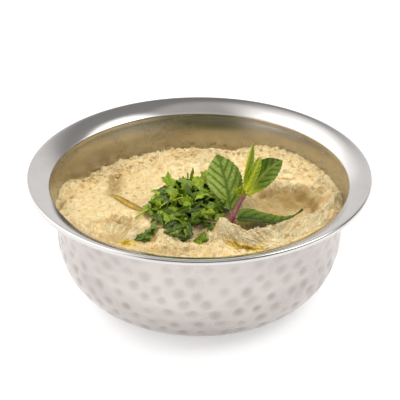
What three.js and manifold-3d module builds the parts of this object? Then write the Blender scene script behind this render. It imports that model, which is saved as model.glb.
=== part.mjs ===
// Baba ganoush in its hammered steel bowl, with pools of oil, a heap of chopped parsley and a mint sprig.
// Millimetres, +Z up. The bowl stands on z = 0 with its axis on Z, and it is seen from -Y.
import * as THREE from "three";
import { mergeVertices } from "three/addons/utils/BufferGeometryUtils.js";
import Module from "manifold-3d";

const wasm = await Module();
wasm.setup();

// ---------------------------------------------------------------- driving dimensions

const BOWL_HEIGHT = 56.3;
const RIM_RADIUS = 75;
const BASE_RADIUS = 38;
const WALL = 0.8;
const CORNER_HEIGHT = 30; // where the rounded foot becomes the upright wall
const CORNER_RADIUS = 62.5; // outer radius there
const NECK_RADIUS = 65.7; // outer radius just under the rim
const NECK_HEIGHT = 51;
const RIM_BEND = 1.2; // radius of the rounded inner edge of the rim
const RIM_SLOPE = THREE.MathUtils.degToRad(27); // how steeply the rim's flange rises outwards
const BEAD_RADIUS = 1.2; // the rolled lip
const DENT_COLUMNS = 41;
const DENT_ROW_STEP = 5.8;
const DENT_LOWEST = 9.5;
const DENT_ROWS = 7;
const DENT_DEPTH = 0.45;
const RING_POINTS = DENT_COLUMNS * 2;
const FOOT_RINGS = [1.8, 5]; // heights of the outer rings below the dents
const INSIDE_RINGS = [3.6, 10, 20, CORNER_HEIGHT, 41]; // heights of the rings inside the bowl

const GAP = 0.3; // kept free between pieces that touch
const DIP_LEVEL = 41;
const FILLING_TOP = 48; // above the dip's highest peak
const DIP_CELL = 3.1; // grid of the dip's surface
const LEAF_THICKNESS = 0.5;
const STEM_RADIUS = 0.85;

// ---------------------------------------------------------------- materials

const steel = new THREE.MeshStandardMaterial({ color: 0xd6d0cb, roughness: 0.3, metalness: 1 });
const dipPaste = new THREE.MeshStandardMaterial({ color: 0xe6d09b, roughness: 0.6, metalness: 0 });
const oliveOil = new THREE.MeshStandardMaterial({ color: 0xc8932b, roughness: 0.1, metalness: 0 });
const parsleyGreen = new THREE.MeshStandardMaterial({ color: 0x5f7a26, roughness: 0.5, metalness: 0 });
const mintGreen = new THREE.MeshStandardMaterial({ color: 0x6d8745, roughness: 0.5, metalness: 0 });
const shootGreen = new THREE.MeshStandardMaterial({ color: 0x9fa92c, roughness: 0.5, metalness: 0 });
const stemPurple = new THREE.MeshStandardMaterial({ color: 0x84475a, roughness: 0.5, metalness: 0 });

// ---------------------------------------------------------------- helpers

// A closed geometry as a manifold-3d solid.
function solidOf(geometry) {
  const bare = geometry.clone();
  bare.deleteAttribute("normal");
  bare.deleteAttribute("uv");
  const merged = mergeVertices(bare, 1e-4);
  return new wasm.Manifold(
    new wasm.Mesh({
      numProp: 3,
      vertProperties: merged.getAttribute("position").array,
      triVerts: new Uint32Array(merged.index.array),
    }),
  );
}

// A manifold-3d solid as a geometry, without the shortest edges and loose chips that cutting leaves.
function geometryOf(solid, tolerance = 0.02) {
  const mesh = largestBody(solid.simplify(tolerance)).getMesh();
  const geometry = new THREE.BufferGeometry();
  geometry.setAttribute("position", new THREE.BufferAttribute(mesh.vertProperties, 3));
  geometry.setIndex(new THREE.BufferAttribute(mesh.triVerts, 1));
  geometry.computeVertexNormals();
  return geometry;
}

// The largest body of a solid that a cut left in pieces.
function largestBody(solid) {
  const bodies = solid.decompose();
  return bodies.reduce((most, body) => (body.volume() > most.volume() ? body : most));
}

const group = new THREE.Group();

function addPiece(name, geometry, material) {
  const piece = new THREE.Mesh(geometry, material);
  piece.name = name;
  group.add(piece);
}

// Repeatable random numbers from 0 to 1.
function randomSource(seed) {
  let state = seed;
  return () => {
    state = (state + 0x6d2b79f5) | 0;
    let mixed = Math.imul(state ^ (state >>> 15), 1 | state);
    mixed = (mixed + Math.imul(mixed ^ (mixed >>> 7), 61 | mixed)) ^ mixed;
    return ((mixed ^ (mixed >>> 14)) >>> 0) / 4294967296;
  };
}

const between = (random, low, high) => low + (high - low) * random();

// ---------------------------------------------------------------- bowl

const FLARE = NECK_RADIUS - CORNER_RADIUS;
const wallLeanDeg = THREE.MathUtils.radToDeg(Math.atan2(2 * FLARE, NECK_HEIGHT - CORNER_HEIGHT));

// Points on a round stretch of a profile, from one angle to another in degrees.
function arcPoints(centreR, centreZ, radius, fromDeg, toDeg, steps) {
  return Array.from({ length: steps + 1 }, (_, i) => {
    const angle = THREE.MathUtils.degToRad(fromDeg + ((toDeg - fromDeg) * i) / steps);
    return new THREE.Vector2(centreR + radius * Math.cos(angle), centreZ + radius * Math.sin(angle));
  });
}

// Radius of the bowl's outer wall at a height: a rounded foot under a wall that flares to the rim.
function outerRadius(z) {
  if (z >= CORNER_HEIGHT) {
    const rise = (z - CORNER_HEIGHT) / (NECK_HEIGHT - CORNER_HEIGHT);
    return CORNER_RADIUS + FLARE * rise * rise;
  }
  const drop = (CORNER_HEIGHT - z) / CORNER_HEIGHT;
  return BASE_RADIUS + (CORNER_RADIUS - BASE_RADIUS) * Math.sqrt(1 - drop * drop);
}

// Radius inside the wall, or inside by more than the wall for what fills the bowl.
function innerRadius(z, inset = WALL) {
  if (z >= CORNER_HEIGHT) return outerRadius(z) - inset;
  const drop = Math.min(1, (CORNER_HEIGHT - z) / (CORNER_HEIGHT - inset));
  const reach = CORNER_RADIUS - BASE_RADIUS - inset;
  return BASE_RADIUS + reach * Math.sqrt(1 - drop * drop);
}

const rimNormalDeg = 90 + THREE.MathUtils.radToDeg(RIM_SLOPE);
const beadCentre = new THREE.Vector2(RIM_RADIUS - BEAD_RADIUS, BOWL_HEIGHT - BEAD_RADIUS);

// The rim's bend lies where the flange's top meets the bead's top along the slope.
const bendCentreR = NECK_RADIUS - WALL + RIM_BEND;
const rimNormal = new THREE.Vector2(-Math.sin(RIM_SLOPE), Math.cos(RIM_SLOPE));
const flangeTopEnd = beadCentre.clone().addScaledVector(rimNormal, BEAD_RADIUS);
const flangeTopStartR = bendCentreR + RIM_BEND * rimNormal.x;
const flangeTopStartZ = flangeTopEnd.y - (flangeTopEnd.x - flangeTopStartR) * Math.tan(RIM_SLOPE);
const bendCentreZ = flangeTopStartZ - RIM_BEND * rimNormal.y;

function bowlGeometry() {
  const rowHeights = [];
  for (let row = 0; row < DENT_ROWS; row += 1) rowHeights.push(DENT_LOWEST + row * DENT_ROW_STEP);
  const outerWall = [...FOOT_RINGS, ...rowHeights].map((z) => new THREE.Vector2(outerRadius(z), z));
  const underBend = arcPoints(bendCentreR, bendCentreZ, RIM_BEND - WALL, 180 - wallLeanDeg, rimNormalDeg, 2);
  const beadJoinDeg = THREE.MathUtils.radToDeg(Math.acos((BEAD_RADIUS - WALL) / BEAD_RADIUS));
  const beadStartDeg = rimNormalDeg + beadJoinDeg - 360;
  const bead = arcPoints(beadCentre.x, beadCentre.y, BEAD_RADIUS, beadStartDeg, rimNormalDeg, 6);
  const innerBend = arcPoints(bendCentreR, bendCentreZ, RIM_BEND, rimNormalDeg, 180 - wallLeanDeg, 2);
  const innerWall = [...INSIDE_RINGS].reverse().map((z) => new THREE.Vector2(innerRadius(z), z));
  const profile = [
    new THREE.Vector2(0, 0),
    new THREE.Vector2(BASE_RADIUS, 0),
    ...outerWall,
    ...underBend,
    ...bead,
    ...innerBend,
    ...innerWall,
    new THREE.Vector2(innerRadius(WALL), WALL),
    new THREE.Vector2(0, WALL),
  ];
  const geometry = new THREE.LatheGeometry(profile, RING_POINTS);
  geometry.rotateX(Math.PI / 2);
  hammer(geometry, rowHeights);
  return geometry;
}

// Hammer dents: every second point of each ring of the outer wall is pushed in, staggered from ring to ring.
function hammer(geometry, rowHeights) {
  const position = geometry.getAttribute("position");
  const column = Math.PI / DENT_COLUMNS; // angle from one point to the next, counted from -Y
  for (let i = 0; i < position.count; i += 1) {
    const x = position.getX(i);
    const y = position.getY(i);
    const radius = Math.hypot(x, y);
    const row = rowHeights.findIndex((z) => Math.abs(z - position.getZ(i)) < 0.01);
    const isOuterWall = radius > innerRadius(position.getZ(i), WALL / 2);
    if (row < 0 || !isOuterWall) continue;
    const step = Math.round(Math.atan2(x, -y) / column);
    const dented = Math.abs(step + row) % 2 === 0;
    if (!dented) continue;
    const pushed = (radius - DENT_DEPTH) / radius;
    position.setXY(i, x * pushed, y * pushed);
  }
}

// ---------------------------------------------------------------- dip surface

const smooth = THREE.MathUtils.smoothstep;
const GOLDEN_ANGLE = 2.39996; // spreads pieces evenly over the heap

// Heaps and hollows of the surface: centre, half-lengths, turn in degrees, rise, and how flat the top is.
const HEAPS = [
  { at: [-46, -10], half: [17, 23], turn: 8, rise: 3, flat: 1.3 }, // broad heap on the left
  { at: [-5, 44], half: [14, 9], turn: 0, rise: 0.8, flat: 1 }, // back
  { at: [38, 34], half: [17, 13], turn: -20, rise: 0.9, flat: 1.3 }, // back right
  { at: [57, 2], half: [4.5, 9], turn: -10, rise: 2.4, flat: 1.2 }, // crest at the right wall
  { at: [10.5, -21.5], half: [4.4, 4.6], turn: 20, rise: 5.2, flat: 0.75 }, // peak by the stem
  { at: [-15, -28], half: [3, 3], turn: 0, rise: 2.6, flat: 0.8 }, // small front peaks
  { at: [-34, -21], half: [5, 4], turn: 20, rise: 1.6, flat: 1 },
  { at: [-39, -26], half: [5, 4], turn: -20, rise: 1.2, flat: 1 },
  { at: [-12, -41], half: [7, 4], turn: 0, rise: 1.2, flat: 1 },
  { at: [3, -42], half: [5, 4], turn: 0, rise: 1.2, flat: 1 },
];
const HOLLOWS = [
  { at: [-27, 11], half: [13, 18], turn: -8, rise: -1.7, flat: 1.6 }, // shallow spoon mark on the left
  { at: [37, -3], half: [16.5, 13.5], turn: 0, rise: -3.3, flat: 2.2 }, // deep spoon hollow on the right
  { at: [46, 3], half: [7, 7], turn: 0, rise: -1.4, flat: 1.3 }, // its steep back corner
  { at: [22, -17], half: [10.5, 6], turn: 6, rise: -4, flat: 1.4 }, // its lowest end, under the trailing leaf
  { at: [-31, -33], half: [5.4, 3.4], turn: 0, rise: -2.6, flat: 1 }, // small front hollows
  { at: [-21, -29], half: [4.5, 5], turn: 0, rise: -3, flat: 1 },
  { at: [0, -30], half: [5, 5.5], turn: 0, rise: -3.4, flat: 1 },
];
// Ridges and grooves: the way points they follow, their half-width and rise.
const RIDGES = [
  { way: [[-40, 36], [-39, 20], [-38.7, 9]], half: 1.6, rise: -1.4 },
  { way: [[-38.6, 6], [-35.4, 2.5], [-29, -5.5], [-22, -11]], half: 1.9, rise: -2.6 },
  { way: [[-61, 4], [-55, 9], [-49, 15], [-46, 22]], half: 2.4, rise: -2.4 },
  { way: [[57, -6], [50, -12], [41, -19], [34, -25], [24, -27], [15, -27]], half: 3.6, rise: 2.1 },
  { way: [[8, -26], [13, -32], [17, -37], [26, -38]], half: 2.8, rise: -2 },
  { way: [[27, 12.5], [36, 11.5], [53, 11]], half: 3, rise: 1.2 },
];

function heapHeight(heap, x, y) {
  const turn = THREE.MathUtils.degToRad(heap.turn);
  const dx = x - heap.at[0];
  const dy = y - heap.at[1];
  const along = (dx * Math.cos(turn) + dy * Math.sin(turn)) / heap.half[0];
  const across = (dy * Math.cos(turn) - dx * Math.sin(turn)) / heap.half[1];
  return heap.rise * Math.exp(-((along * along + across * across) ** heap.flat));
}

function ridgeHeight(ridge, x, y) {
  let nearest = Infinity;
  for (let i = 1; i < ridge.way.length; i += 1) {
    const [ax, ay] = ridge.way[i - 1];
    const [bx, by] = ridge.way[i];
    const lengthSquared = (bx - ax) ** 2 + (by - ay) ** 2;
    const along = ((x - ax) * (bx - ax) + (y - ay) * (by - ay)) / lengthSquared;
    const t = THREE.MathUtils.clamp(along, 0, 1);
    nearest = Math.min(nearest, Math.hypot(x - ax - t * (bx - ax), y - ay - t * (by - ay)));
  }
  return ridge.rise * Math.exp(-((nearest / ridge.half) ** 2));
}

// Small lumps all over the paste.
function lumps(x, y) {
  const broadAcross = Math.sin(x * 0.55 + 1.3 * Math.sin(y * 0.31));
  const broadAlong = Math.sin(y * 0.49 + 1.1 * Math.sin(x * 0.37 + 1));
  const fineAcross = Math.sin(x * 1.13 + 1.7 * Math.sin(y * 0.71 + 2));
  const fineAlong = Math.sin(y * 1.27 + 1.5 * Math.sin(x * 0.83));
  return 0.22 * broadAcross * broadAlong + 0.12 * fineAcross * fineAlong;
}

// Along the back the paste slopes down before it meets the wall.
const BACK_SLOPE = { fromDeg: [58, 78], toDeg: [148, 163], radius: [47, 62], drop: 6 };

function backDrop(x, y) {
  const azimuth = THREE.MathUtils.radToDeg(Math.atan2(y, x));
  const { fromDeg, toDeg, radius, drop } = BACK_SLOPE;
  const share = smooth(azimuth, ...fromDeg) * (1 - smooth(azimuth, ...toDeg));
  return drop * share * smooth(Math.hypot(x, y), ...radius);
}

// Height of the dip's surface.
function dipHeight(x, y) {
  let z = DIP_LEVEL - backDrop(x, y) + lumps(x, y);
  for (const heap of [...HEAPS, ...HOLLOWS]) z += heapHeight(heap, x, y);
  for (const ridge of RIDGES) z += ridgeHeight(ridge, x, y);
  return z;
}

// Everything under the dip's surface, raised by lift, as a square block that is wider than the bowl.
function groundBlock(lift) {
  const width = 2 * NECK_RADIUS;
  const cells = Math.round(width / DIP_CELL);
  const block = new THREE.BoxGeometry(width, width, 2, cells, cells, 1);
  const position = block.getAttribute("position");
  for (let i = 0; i < position.count; i += 1) {
    const isTop = position.getZ(i) > 0;
    position.setZ(i, isTop ? dipHeight(position.getX(i), position.getY(i)) + lift : -1);
  }
  return solidOf(block);
}

// The inside of the bowl up to well above the dip, clear of the wall.
function bowlFilling() {
  const inset = WALL + GAP;
  const heights = [...INSIDE_RINGS, FILLING_TOP];
  const profile = [
    new THREE.Vector2(0, inset),
    new THREE.Vector2(innerRadius(inset, inset), inset),
    ...heights.map((z) => new THREE.Vector2(innerRadius(z, inset), z)),
    new THREE.Vector2(0, FILLING_TOP),
  ];
  const filling = new THREE.LatheGeometry(profile, RING_POINTS);
  filling.rotateX(Math.PI / 2);
  return solidOf(filling);
}

// ---------------------------------------------------------------- thin leaves

// A thin wavy solid along a spine. Both faces are split into triangles alike.
//   spine: way points of the midrib; side: which way the left half lies at the base and at the tip
//   fold: how far each half is lifted from the midrib; wave: height of the waves along the edge
//   widest: where along the spine it is widest; taper: how fast it narrows to the tip
//   narrowest: half-width left at its two ends
function leafGeometry(shape, thickness = LEAF_THICKNESS) {
  const { spine, side, width, across = 4, along = 9, fold = 0, wave = 0, waves = 2 } = shape;
  const { widest = 0.42, taper = 0.75, narrowest = 0.3 } = shape;
  const curve = new THREE.CatmullRomCurve3(spine.map((point) => new THREE.Vector3(...point)));
  const sides = side.map((direction) => new THREE.Vector3(...direction));
  const grid = new THREE.PlaneGeometry(2, 1, across, along);
  const face = grid.getAttribute("position");
  const count = face.count;
  const both = new Float32Array(count * 6);
  const basePower = (taper * widest) / (1 - widest);
  const fullest = widest ** basePower * (1 - widest) ** taper;
  for (let i = 0; i < count; i += 1) {
    const s = face.getX(i);
    const t = face.getY(i) + 0.5;
    const half = Math.max(narrowest, ((width / 2) * t ** basePower * (1 - t) ** taper) / fullest);
    const forward = curve.getTangentAt(t);
    const left = sides[0].clone().lerp(sides[sides.length - 1], t);
    left.addScaledVector(forward, -left.dot(forward)).normalize();
    const up = new THREE.Vector3().crossVectors(forward, left).negate();
    const lift = fold * Math.abs(s) * half + wave * s * s * Math.sin(waves * Math.PI * 2 * t + s * 1.2);
    const middle = curve.getPointAt(t).addScaledVector(left, -s * half).addScaledVector(up, lift);
    const top = middle.clone().addScaledVector(up, thickness / 2);
    const bottom = middle.clone().addScaledVector(up, -thickness / 2);
    top.toArray(both, i * 3);
    bottom.toArray(both, (count + i) * 3);
  }
  const topFace = Array.from(grid.index.array);
  const faces = [...topFace];
  for (let i = 0; i < topFace.length; i += 3) {
    faces.push(topFace[i] + count, topFace[i + 2] + count, topFace[i + 1] + count);
  }
  const border = gridBorder(across, along);
  for (let i = 0; i < border.length; i += 1) {
    const here = border[i];
    const next = border[(i + 1) % border.length];
    faces.push(here, next, here + count, next, next + count, here + count);
  }
  const geometry = new THREE.BufferGeometry();
  geometry.setAttribute("position", new THREE.BufferAttribute(both, 3));
  geometry.setIndex(faces);
  geometry.computeVertexNormals();
  return facingOut(geometry);
}

// A leaf with the gap that its neighbours keep from it.
function leafSpace(shape) {
  const wider = { ...shape, width: shape.width + 3 * GAP, narrowest: 0.3 + GAP };
  return solidOf(leafGeometry(wider, LEAF_THICKNESS + 3 * GAP));
}

// The grid's outer points in order, once round.
function gridBorder(across, along) {
  const row = across + 1;
  const border = [];
  for (let i = 0; i < across; i += 1) border.push(i);
  for (let j = 0; j < along; j += 1) border.push(j * row + across);
  for (let i = across; i > 0; i -= 1) border.push(along * row + i);
  for (let j = along; j > 0; j -= 1) border.push(j * row);
  return border;
}

// Turns a closed geometry's faces round if they point inwards.
function facingOut(geometry) {
  if (solidOf(geometry).volume() > 0) return geometry;
  const index = geometry.index.array;
  for (let i = 0; i < index.length; i += 3) [index[i + 1], index[i + 2]] = [index[i + 2], index[i + 1]];
  geometry.computeVertexNormals();
  return geometry;
}

// ---------------------------------------------------------------- mint sprig

const LOWER_NODE = [14.1, -19.3, 44]; // where the two large leaves leave the stem
const UPPER_NODE = [19, -9.2, 49.5]; // where the young leaves leave it
const STEM_FOOT = [13.2, -21, 40.6]; // stuck into the paste

function stemGeometry(radius, extra = 0) {
  const ring = new THREE.Shape();
  ring.absarc(0, 0, radius, 0, Math.PI * 2);
  const foot = new THREE.Vector3(...STEM_FOOT).add(new THREE.Vector3(0, -0.4, -1).multiplyScalar(extra));
  const way = [foot, new THREE.Vector3(...LOWER_NODE), new THREE.Vector3(...UPPER_NODE)];
  const path = new THREE.CatmullRomCurve3(way);
  return new THREE.ExtrudeGeometry(ring, { steps: 6, curveSegments: 8, extrudePath: path });
}

const MINT_LEAVES = {
  mint_broad_leaf: {
    spine: [[13.3, -15, 45.4], [12.9, -10.6, 46.8], [11.6, -3, 51.8], [8.2, 8.9, 60]],
    side: [[-0.97, 0.15, 0.12], [-0.97, 0.15, 0.12]],
    width: 15.4, along: 10, fold: 0.12, wave: 0.4, waves: 2, widest: 0.56, taper: 0.75,
  },
  mint_trailing_leaf: {
    spine: [
      [16.2, -19, 43.8], [22, -17.6, 43.4], [28, -16.5, 41.9],
      [34, -16.4, 41.2], [39.5, -14.8, 42.1], [44.8, -12, 44.2],
    ],
    side: [[0.1, 1, 0.1], [0.1, 0.95, -0.25]],
    width: 9.5, along: 11, fold: -0.1, wave: 0.6, waves: 1.5, widest: 0.26, taper: 1.25,
  },
  mint_folded_leaf: {
    spine: [[20.6, -9.6, 49.9], [24.4, -5, 53.2], [29.4, 0.6, 56.4], [36, 7, 58.2]],
    side: [[-0.45, 0.55, 0.65], [-0.45, 0.55, 0.65]],
    width: 10, along: 9, fold: -0.35, wave: 0.4, waves: 1.5, widest: 0.55, taper: 0.6,
  },
  mint_tall_shoot: {
    spine: [[20, -7.4, 50.8], [20.9, -2.6, 55.2], [22.2, 3, 60.8], [23.4, 8.2, 66]],
    side: [[-0.95, 0.1, 0.2], [-0.6, 0.1, 0.5]],
    width: 3.2, across: 2, along: 8, fold: -0.5, wave: 0, widest: 0.4,
  },
  mint_short_shoot: {
    spine: [[19.7, -10.2, 52], [22.2, -7.4, 56.4], [24.6, -3.6, 60.2], [26.3, 0.4, 63.4]],
    side: [[-0.8, 0.3, 0.4], [-0.8, 0.3, 0.4]],
    width: 4, across: 2, along: 8, fold: -0.4, wave: 0.2, widest: 0.45,
  },
  mint_bud: {
    spine: [[18.3, -11.6, 50.9], [17.8, -11.4, 52.8], [18, -11, 54.8]],
    side: [[-0.9, -0.3, 0.1], [-0.9, -0.3, 0.1]],
    width: 2.8, across: 2, along: 5, fold: 0.4, wave: 0, widest: 0.45,
  },
};

// ---------------------------------------------------------------- parsley

const HEAP_CENTRE = [-4.5, -5.5, 41.2];
const HEAP_HALF = [17, 19, 8];
const FRONT_LOBE = { at: [-9.5, -27, 41], half: [5.2, 6.5, 3.6] }; // where the heap spills forwards
const HEAP_SPRIGS = 34;

// One cut piece of parsley: a small bent plate at a point, lying along a direction.
function parsleyBit(random, at, direction, length, width) {
  const half = direction.clone().multiplyScalar(length / 2);
  const arch = new THREE.Vector3(0, 0, between(random, 0.3, 1.1));
  const spine = [at.clone().sub(half), at.clone().add(arch), at.clone().add(half)].map((p) => p.toArray());
  const side = new THREE.Vector3(between(random, -1, 1), between(random, -1, 1), between(random, -0.6, 0.6));
  const shape = { spine, side: [side.toArray()], width, across: 2, along: 3 };
  return leafGeometry({ ...shape, fold: between(random, -0.4, 0.4), widest: 0.55 });
}

// The heap: a low mound with cut pieces standing out of it, cut clear of the dip and the sprig.
function parsleyHeap(raisedDip, sprig) {
  const random = randomSource(11);
  const core = new THREE.SphereGeometry(1, 14, 8);
  core.rotateX(Math.PI / 2);
  core.scale(...HEAP_HALF);
  core.translate(...HEAP_CENTRE);
  const lobe = new THREE.SphereGeometry(1, 10, 6);
  lobe.scale(...FRONT_LOBE.half);
  lobe.translate(...FRONT_LOBE.at);
  const pieces = [solidOf(core), solidOf(lobe)];
  for (let i = 0; i < HEAP_SPRIGS; i += 1) {
    const turn = i * GOLDEN_ANGLE;
    const spread = Math.sqrt((i + 0.5) / HEAP_SPRIGS);
    const height = Math.sqrt(1 - 0.85 * spread * spread);
    const at = new THREE.Vector3(
      HEAP_CENTRE[0] + HEAP_HALF[0] * 1.02 * spread * Math.cos(turn),
      HEAP_CENTRE[1] + HEAP_HALF[1] * 1.02 * spread * Math.sin(turn),
      HEAP_CENTRE[2] + HEAP_HALF[2] * height + 0.2,
    );
    const heading = between(random, 0, Math.PI * 2);
    const direction = new THREE.Vector3(Math.cos(heading), Math.sin(heading), between(random, -0.5, 0.7));
    const length = between(random, 5, 8);
    pieces.push(solidOf(parsleyBit(random, at, direction.normalize(), length, between(random, 2.6, 4.6))));
  }
  const joined = wasm.Manifold.union(pieces);
  return joined.subtract(raisedDip).subtract(sprig);
}

// Loose cut pieces beside the heap, each a few bits fused together and laid on the dip.
const SCRAPS = {
  parsley_scrap_left: { at: [-21, -28.5], spread: [2, 3.6], bits: 3, seed: 5 },
  parsley_scrap_front: { at: [0.6, -29.5], spread: [1.8, 2.4], bits: 2, seed: 8 },
};

function parsleyScrap({ at, spread, bits, seed }, raisedDip) {
  const random = randomSource(seed);
  const pieces = [];
  for (let i = 0; i < bits; i += 1) {
    const along = bits > 1 ? i / (bits - 1) - 0.5 : 0;
    const x = at[0] + spread[0] * along;
    const y = at[1] + spread[1] * along;
    const centre = new THREE.Vector3(x, y, dipHeight(x, y) + 1.1);
    const direction = new THREE.Vector3(spread[0], spread[1], 0).normalize();
    pieces.push(solidOf(parsleyBit(random, centre, direction, 6, 4)));
  }
  return wasm.Manifold.union(pieces).subtract(raisedDip);
}

// ---------------------------------------------------------------- oil

// Oil lies level in the low places: the middle and half-lengths of each pool's outline, and its level.
const OIL_POOLS = {
  oil_front_groove: { at: [18, -35], half: [11, 5], turn: -24, level: 40.1 },
  oil_front_left_hollow: { at: [-31.2, -33], half: [5, 3.6], turn: 0, level: 39.9 },
  oil_under_leaf: { at: [22.5, -17], half: [10, 6.5], turn: 6, level: 38 },
};

// Oil in the groove beside the spoon mark: a narrow streak, and the channel that it fills.
const OIL_STREAK = {
  way: [[-38.6, 5], [-35.4, 1.6], [-29.5, -5.2], [-22.5, -10.4]],
  level: 40.1,
  width: 3.6,
  depth: 1.1,
};

function streakSolid({ way, level, width, depth }, gap, top) {
  const bottom = level - depth - gap;
  const spine = way.map(([x, y]) => new THREE.Vector3(x, y, (bottom + top) / 2));
  const first = spine[0].clone().sub(spine[1]).setLength(gap);
  const last = spine.at(-1).clone().sub(spine.at(-2)).setLength(gap);
  spine[0].add(first);
  spine.at(-1).add(last);
  const outline = { spine: spine.map((point) => point.toArray()), side: [[1, 1, 0]], widest: 0.5 };
  const shape = { ...outline, width: width + 2 * gap, narrowest: 0.3 + gap };
  return solidOf(leafGeometry(shape, top - bottom));
}

function oilPool({ at, half, turn, level }, raisedDip) {
  const depth = 8;
  const disc = new THREE.CylinderGeometry(1, 1, depth, 40);
  disc.rotateX(Math.PI / 2);
  disc.scale(half[0], half[1], 1);
  disc.rotateZ(THREE.MathUtils.degToRad(turn));
  disc.translate(at[0], at[1], level - depth / 2);
  return solidOf(disc).subtract(raisedDip);
}

// ---------------------------------------------------------------- assembly

const stemSpace = solidOf(stemGeometry(STEM_RADIUS + GAP, GAP));
const channel = streakSolid(OIL_STREAK, GAP, FILLING_TOP);
const dipSolid = groundBlock(0).intersect(bowlFilling()).subtract(stemSpace).subtract(channel);
const raisedDip = groundBlock(GAP);

addPiece("bowl", bowlGeometry(), steel);
addPiece("dip", geometryOf(dipSolid), dipPaste);
addPiece("oil_left_streak", geometryOf(streakSolid(OIL_STREAK, 0, OIL_STREAK.level)), oliveOil);
for (const [name, pool] of Object.entries(OIL_POOLS)) {
  addPiece(name, geometryOf(oilPool(pool, raisedDip)), oliveOil);
}

const sprigSpace = wasm.Manifold.union([stemSpace, ...Object.values(MINT_LEAVES).map(leafSpace)]);
addPiece("chopped_parsley", geometryOf(parsleyHeap(raisedDip, sprigSpace)), parsleyGreen);
for (const [name, scrap] of Object.entries(SCRAPS)) {
  addPiece(name, geometryOf(parsleyScrap(scrap, raisedDip)), parsleyGreen);
}
addPiece("mint_stem", stemGeometry(STEM_RADIUS), stemPurple);
for (const [name, shape] of Object.entries(MINT_LEAVES)) {
  addPiece(name, leafGeometry(shape), name.endsWith("leaf") ? mintGreen : shootGreen);
}

export default group;
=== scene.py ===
"""Baba ganoush in its hammered steel bowl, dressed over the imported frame.

Shapes are worked out in millimetres and written to meshes in metres.
"""
import math

import bpy
import numpy as np
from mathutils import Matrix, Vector


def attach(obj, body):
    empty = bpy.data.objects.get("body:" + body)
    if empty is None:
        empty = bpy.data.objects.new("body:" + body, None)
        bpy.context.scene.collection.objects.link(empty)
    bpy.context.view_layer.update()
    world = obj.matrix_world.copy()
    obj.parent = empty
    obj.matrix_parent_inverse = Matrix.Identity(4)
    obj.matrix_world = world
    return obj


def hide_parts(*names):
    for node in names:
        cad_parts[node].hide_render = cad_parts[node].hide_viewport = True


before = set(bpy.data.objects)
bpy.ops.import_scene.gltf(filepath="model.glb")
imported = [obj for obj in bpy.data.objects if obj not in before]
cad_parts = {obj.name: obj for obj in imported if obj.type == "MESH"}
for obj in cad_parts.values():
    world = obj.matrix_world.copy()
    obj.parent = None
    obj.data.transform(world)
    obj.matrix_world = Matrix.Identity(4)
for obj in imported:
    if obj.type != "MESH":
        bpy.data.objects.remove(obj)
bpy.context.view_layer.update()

MM = 0.001

# ---- sizes in millimetres, most shared with the solids

BOWL_HEIGHT = 56.3
RIM_RADIUS = 75
BASE_RADIUS = 38
WALL = 0.8
CORNER_HEIGHT = 30
CORNER_RADIUS = 62.5
NECK_RADIUS = 65.7
NECK_HEIGHT = 51
RIM_BEND = 1.2
RIM_SLOPE = math.radians(27)
BEAD_RADIUS = 1.2
FLANGE_SLOPES = (17, 33)  # degrees, the rim's rounded flange at its lip and at its inner edge
LIP_LEAN = 12  # degrees that the lip's flattened outer face leans back
LIP_DROP = 0.3  # how far the lip's middle lies under the straight solid's
FOOT_ROUNDING = 0.36
DENT_COLUMNS = 41
DENT_ROW_STEP = 5.8
DENT_LOWEST = 9.5
DENT_ROWS = 7
DENT_DEPTH = 0.62
DIP_LEVEL = 41
INTO_WALL = 0.1  # how far the dip's edge reaches into the steel, so that no gap shows
SIDE_INSET = 0.3  # how far its side stays inside the steel lower down
SIDE_HEIGHTS = (33, 30, 20, 10, 4, 1)  # the rings of its side, from the top down
OIL_INTO_PASTE = 0.12  # how far the oil's underside lies inside the paste
PITS_AND_HUMPS = 420
CRUMB_REACH = 60.5  # crumbs and fibres stay this near the bowl's axis
BARE_PLACES = [((-4.5, -5.5), (15, 17)), ((39, 1), (17, 11))]  # no crumbs: middle, half-lengths

# ---- numbers and noise


def smooth_step(value, low, high):
    share = np.clip((value - low) / (high - low), 0, 1)
    return share * share * (3 - 2 * share)


noise_tables = {}


def noise(x, y, seed):
    """Gradient noise from about -1 to 1, one lattice cell a unit."""
    if seed not in noise_tables:
        noise_tables[seed] = np.random.default_rng(seed).random((64, 64)) * 2 * np.pi
    table = noise_tables[seed]
    cell_x, cell_y = np.floor(x).astype(int), np.floor(y).astype(int)
    in_x, in_y = x - cell_x, y - cell_y

    def corner(step_x, step_y):
        angle = table[(cell_x + step_x) % 64, (cell_y + step_y) % 64]
        return np.cos(angle) * (in_x - step_x) + np.sin(angle) * (in_y - step_y)

    fade_x = in_x**3 * (in_x * (in_x * 6 - 15) + 10)
    fade_y = in_y**3 * (in_y * (in_y * 6 - 15) + 10)
    low = corner(0, 0) * (1 - fade_x) + corner(1, 0) * fade_x
    high = corner(0, 1) * (1 - fade_x) + corner(1, 1) * fade_x
    return 1.6 * (low * (1 - fade_y) + high * fade_y)


def fractal(x, y, octaves, seed):
    total = np.zeros_like(np.asarray(x, dtype=float))
    for octave in range(octaves):
        total += noise(x * 2**octave, y * 2**octave, seed + octave) / 2**octave
    return total


# ---- meshes


def unit(vectors):
    """Vectors brought to length 1."""
    return vectors / np.linalg.norm(vectors, axis=-1, keepdims=True)


def headings(line):
    """The direction of travel at each point of a line."""
    return unit(np.gradient(line, axis=0))


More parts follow.
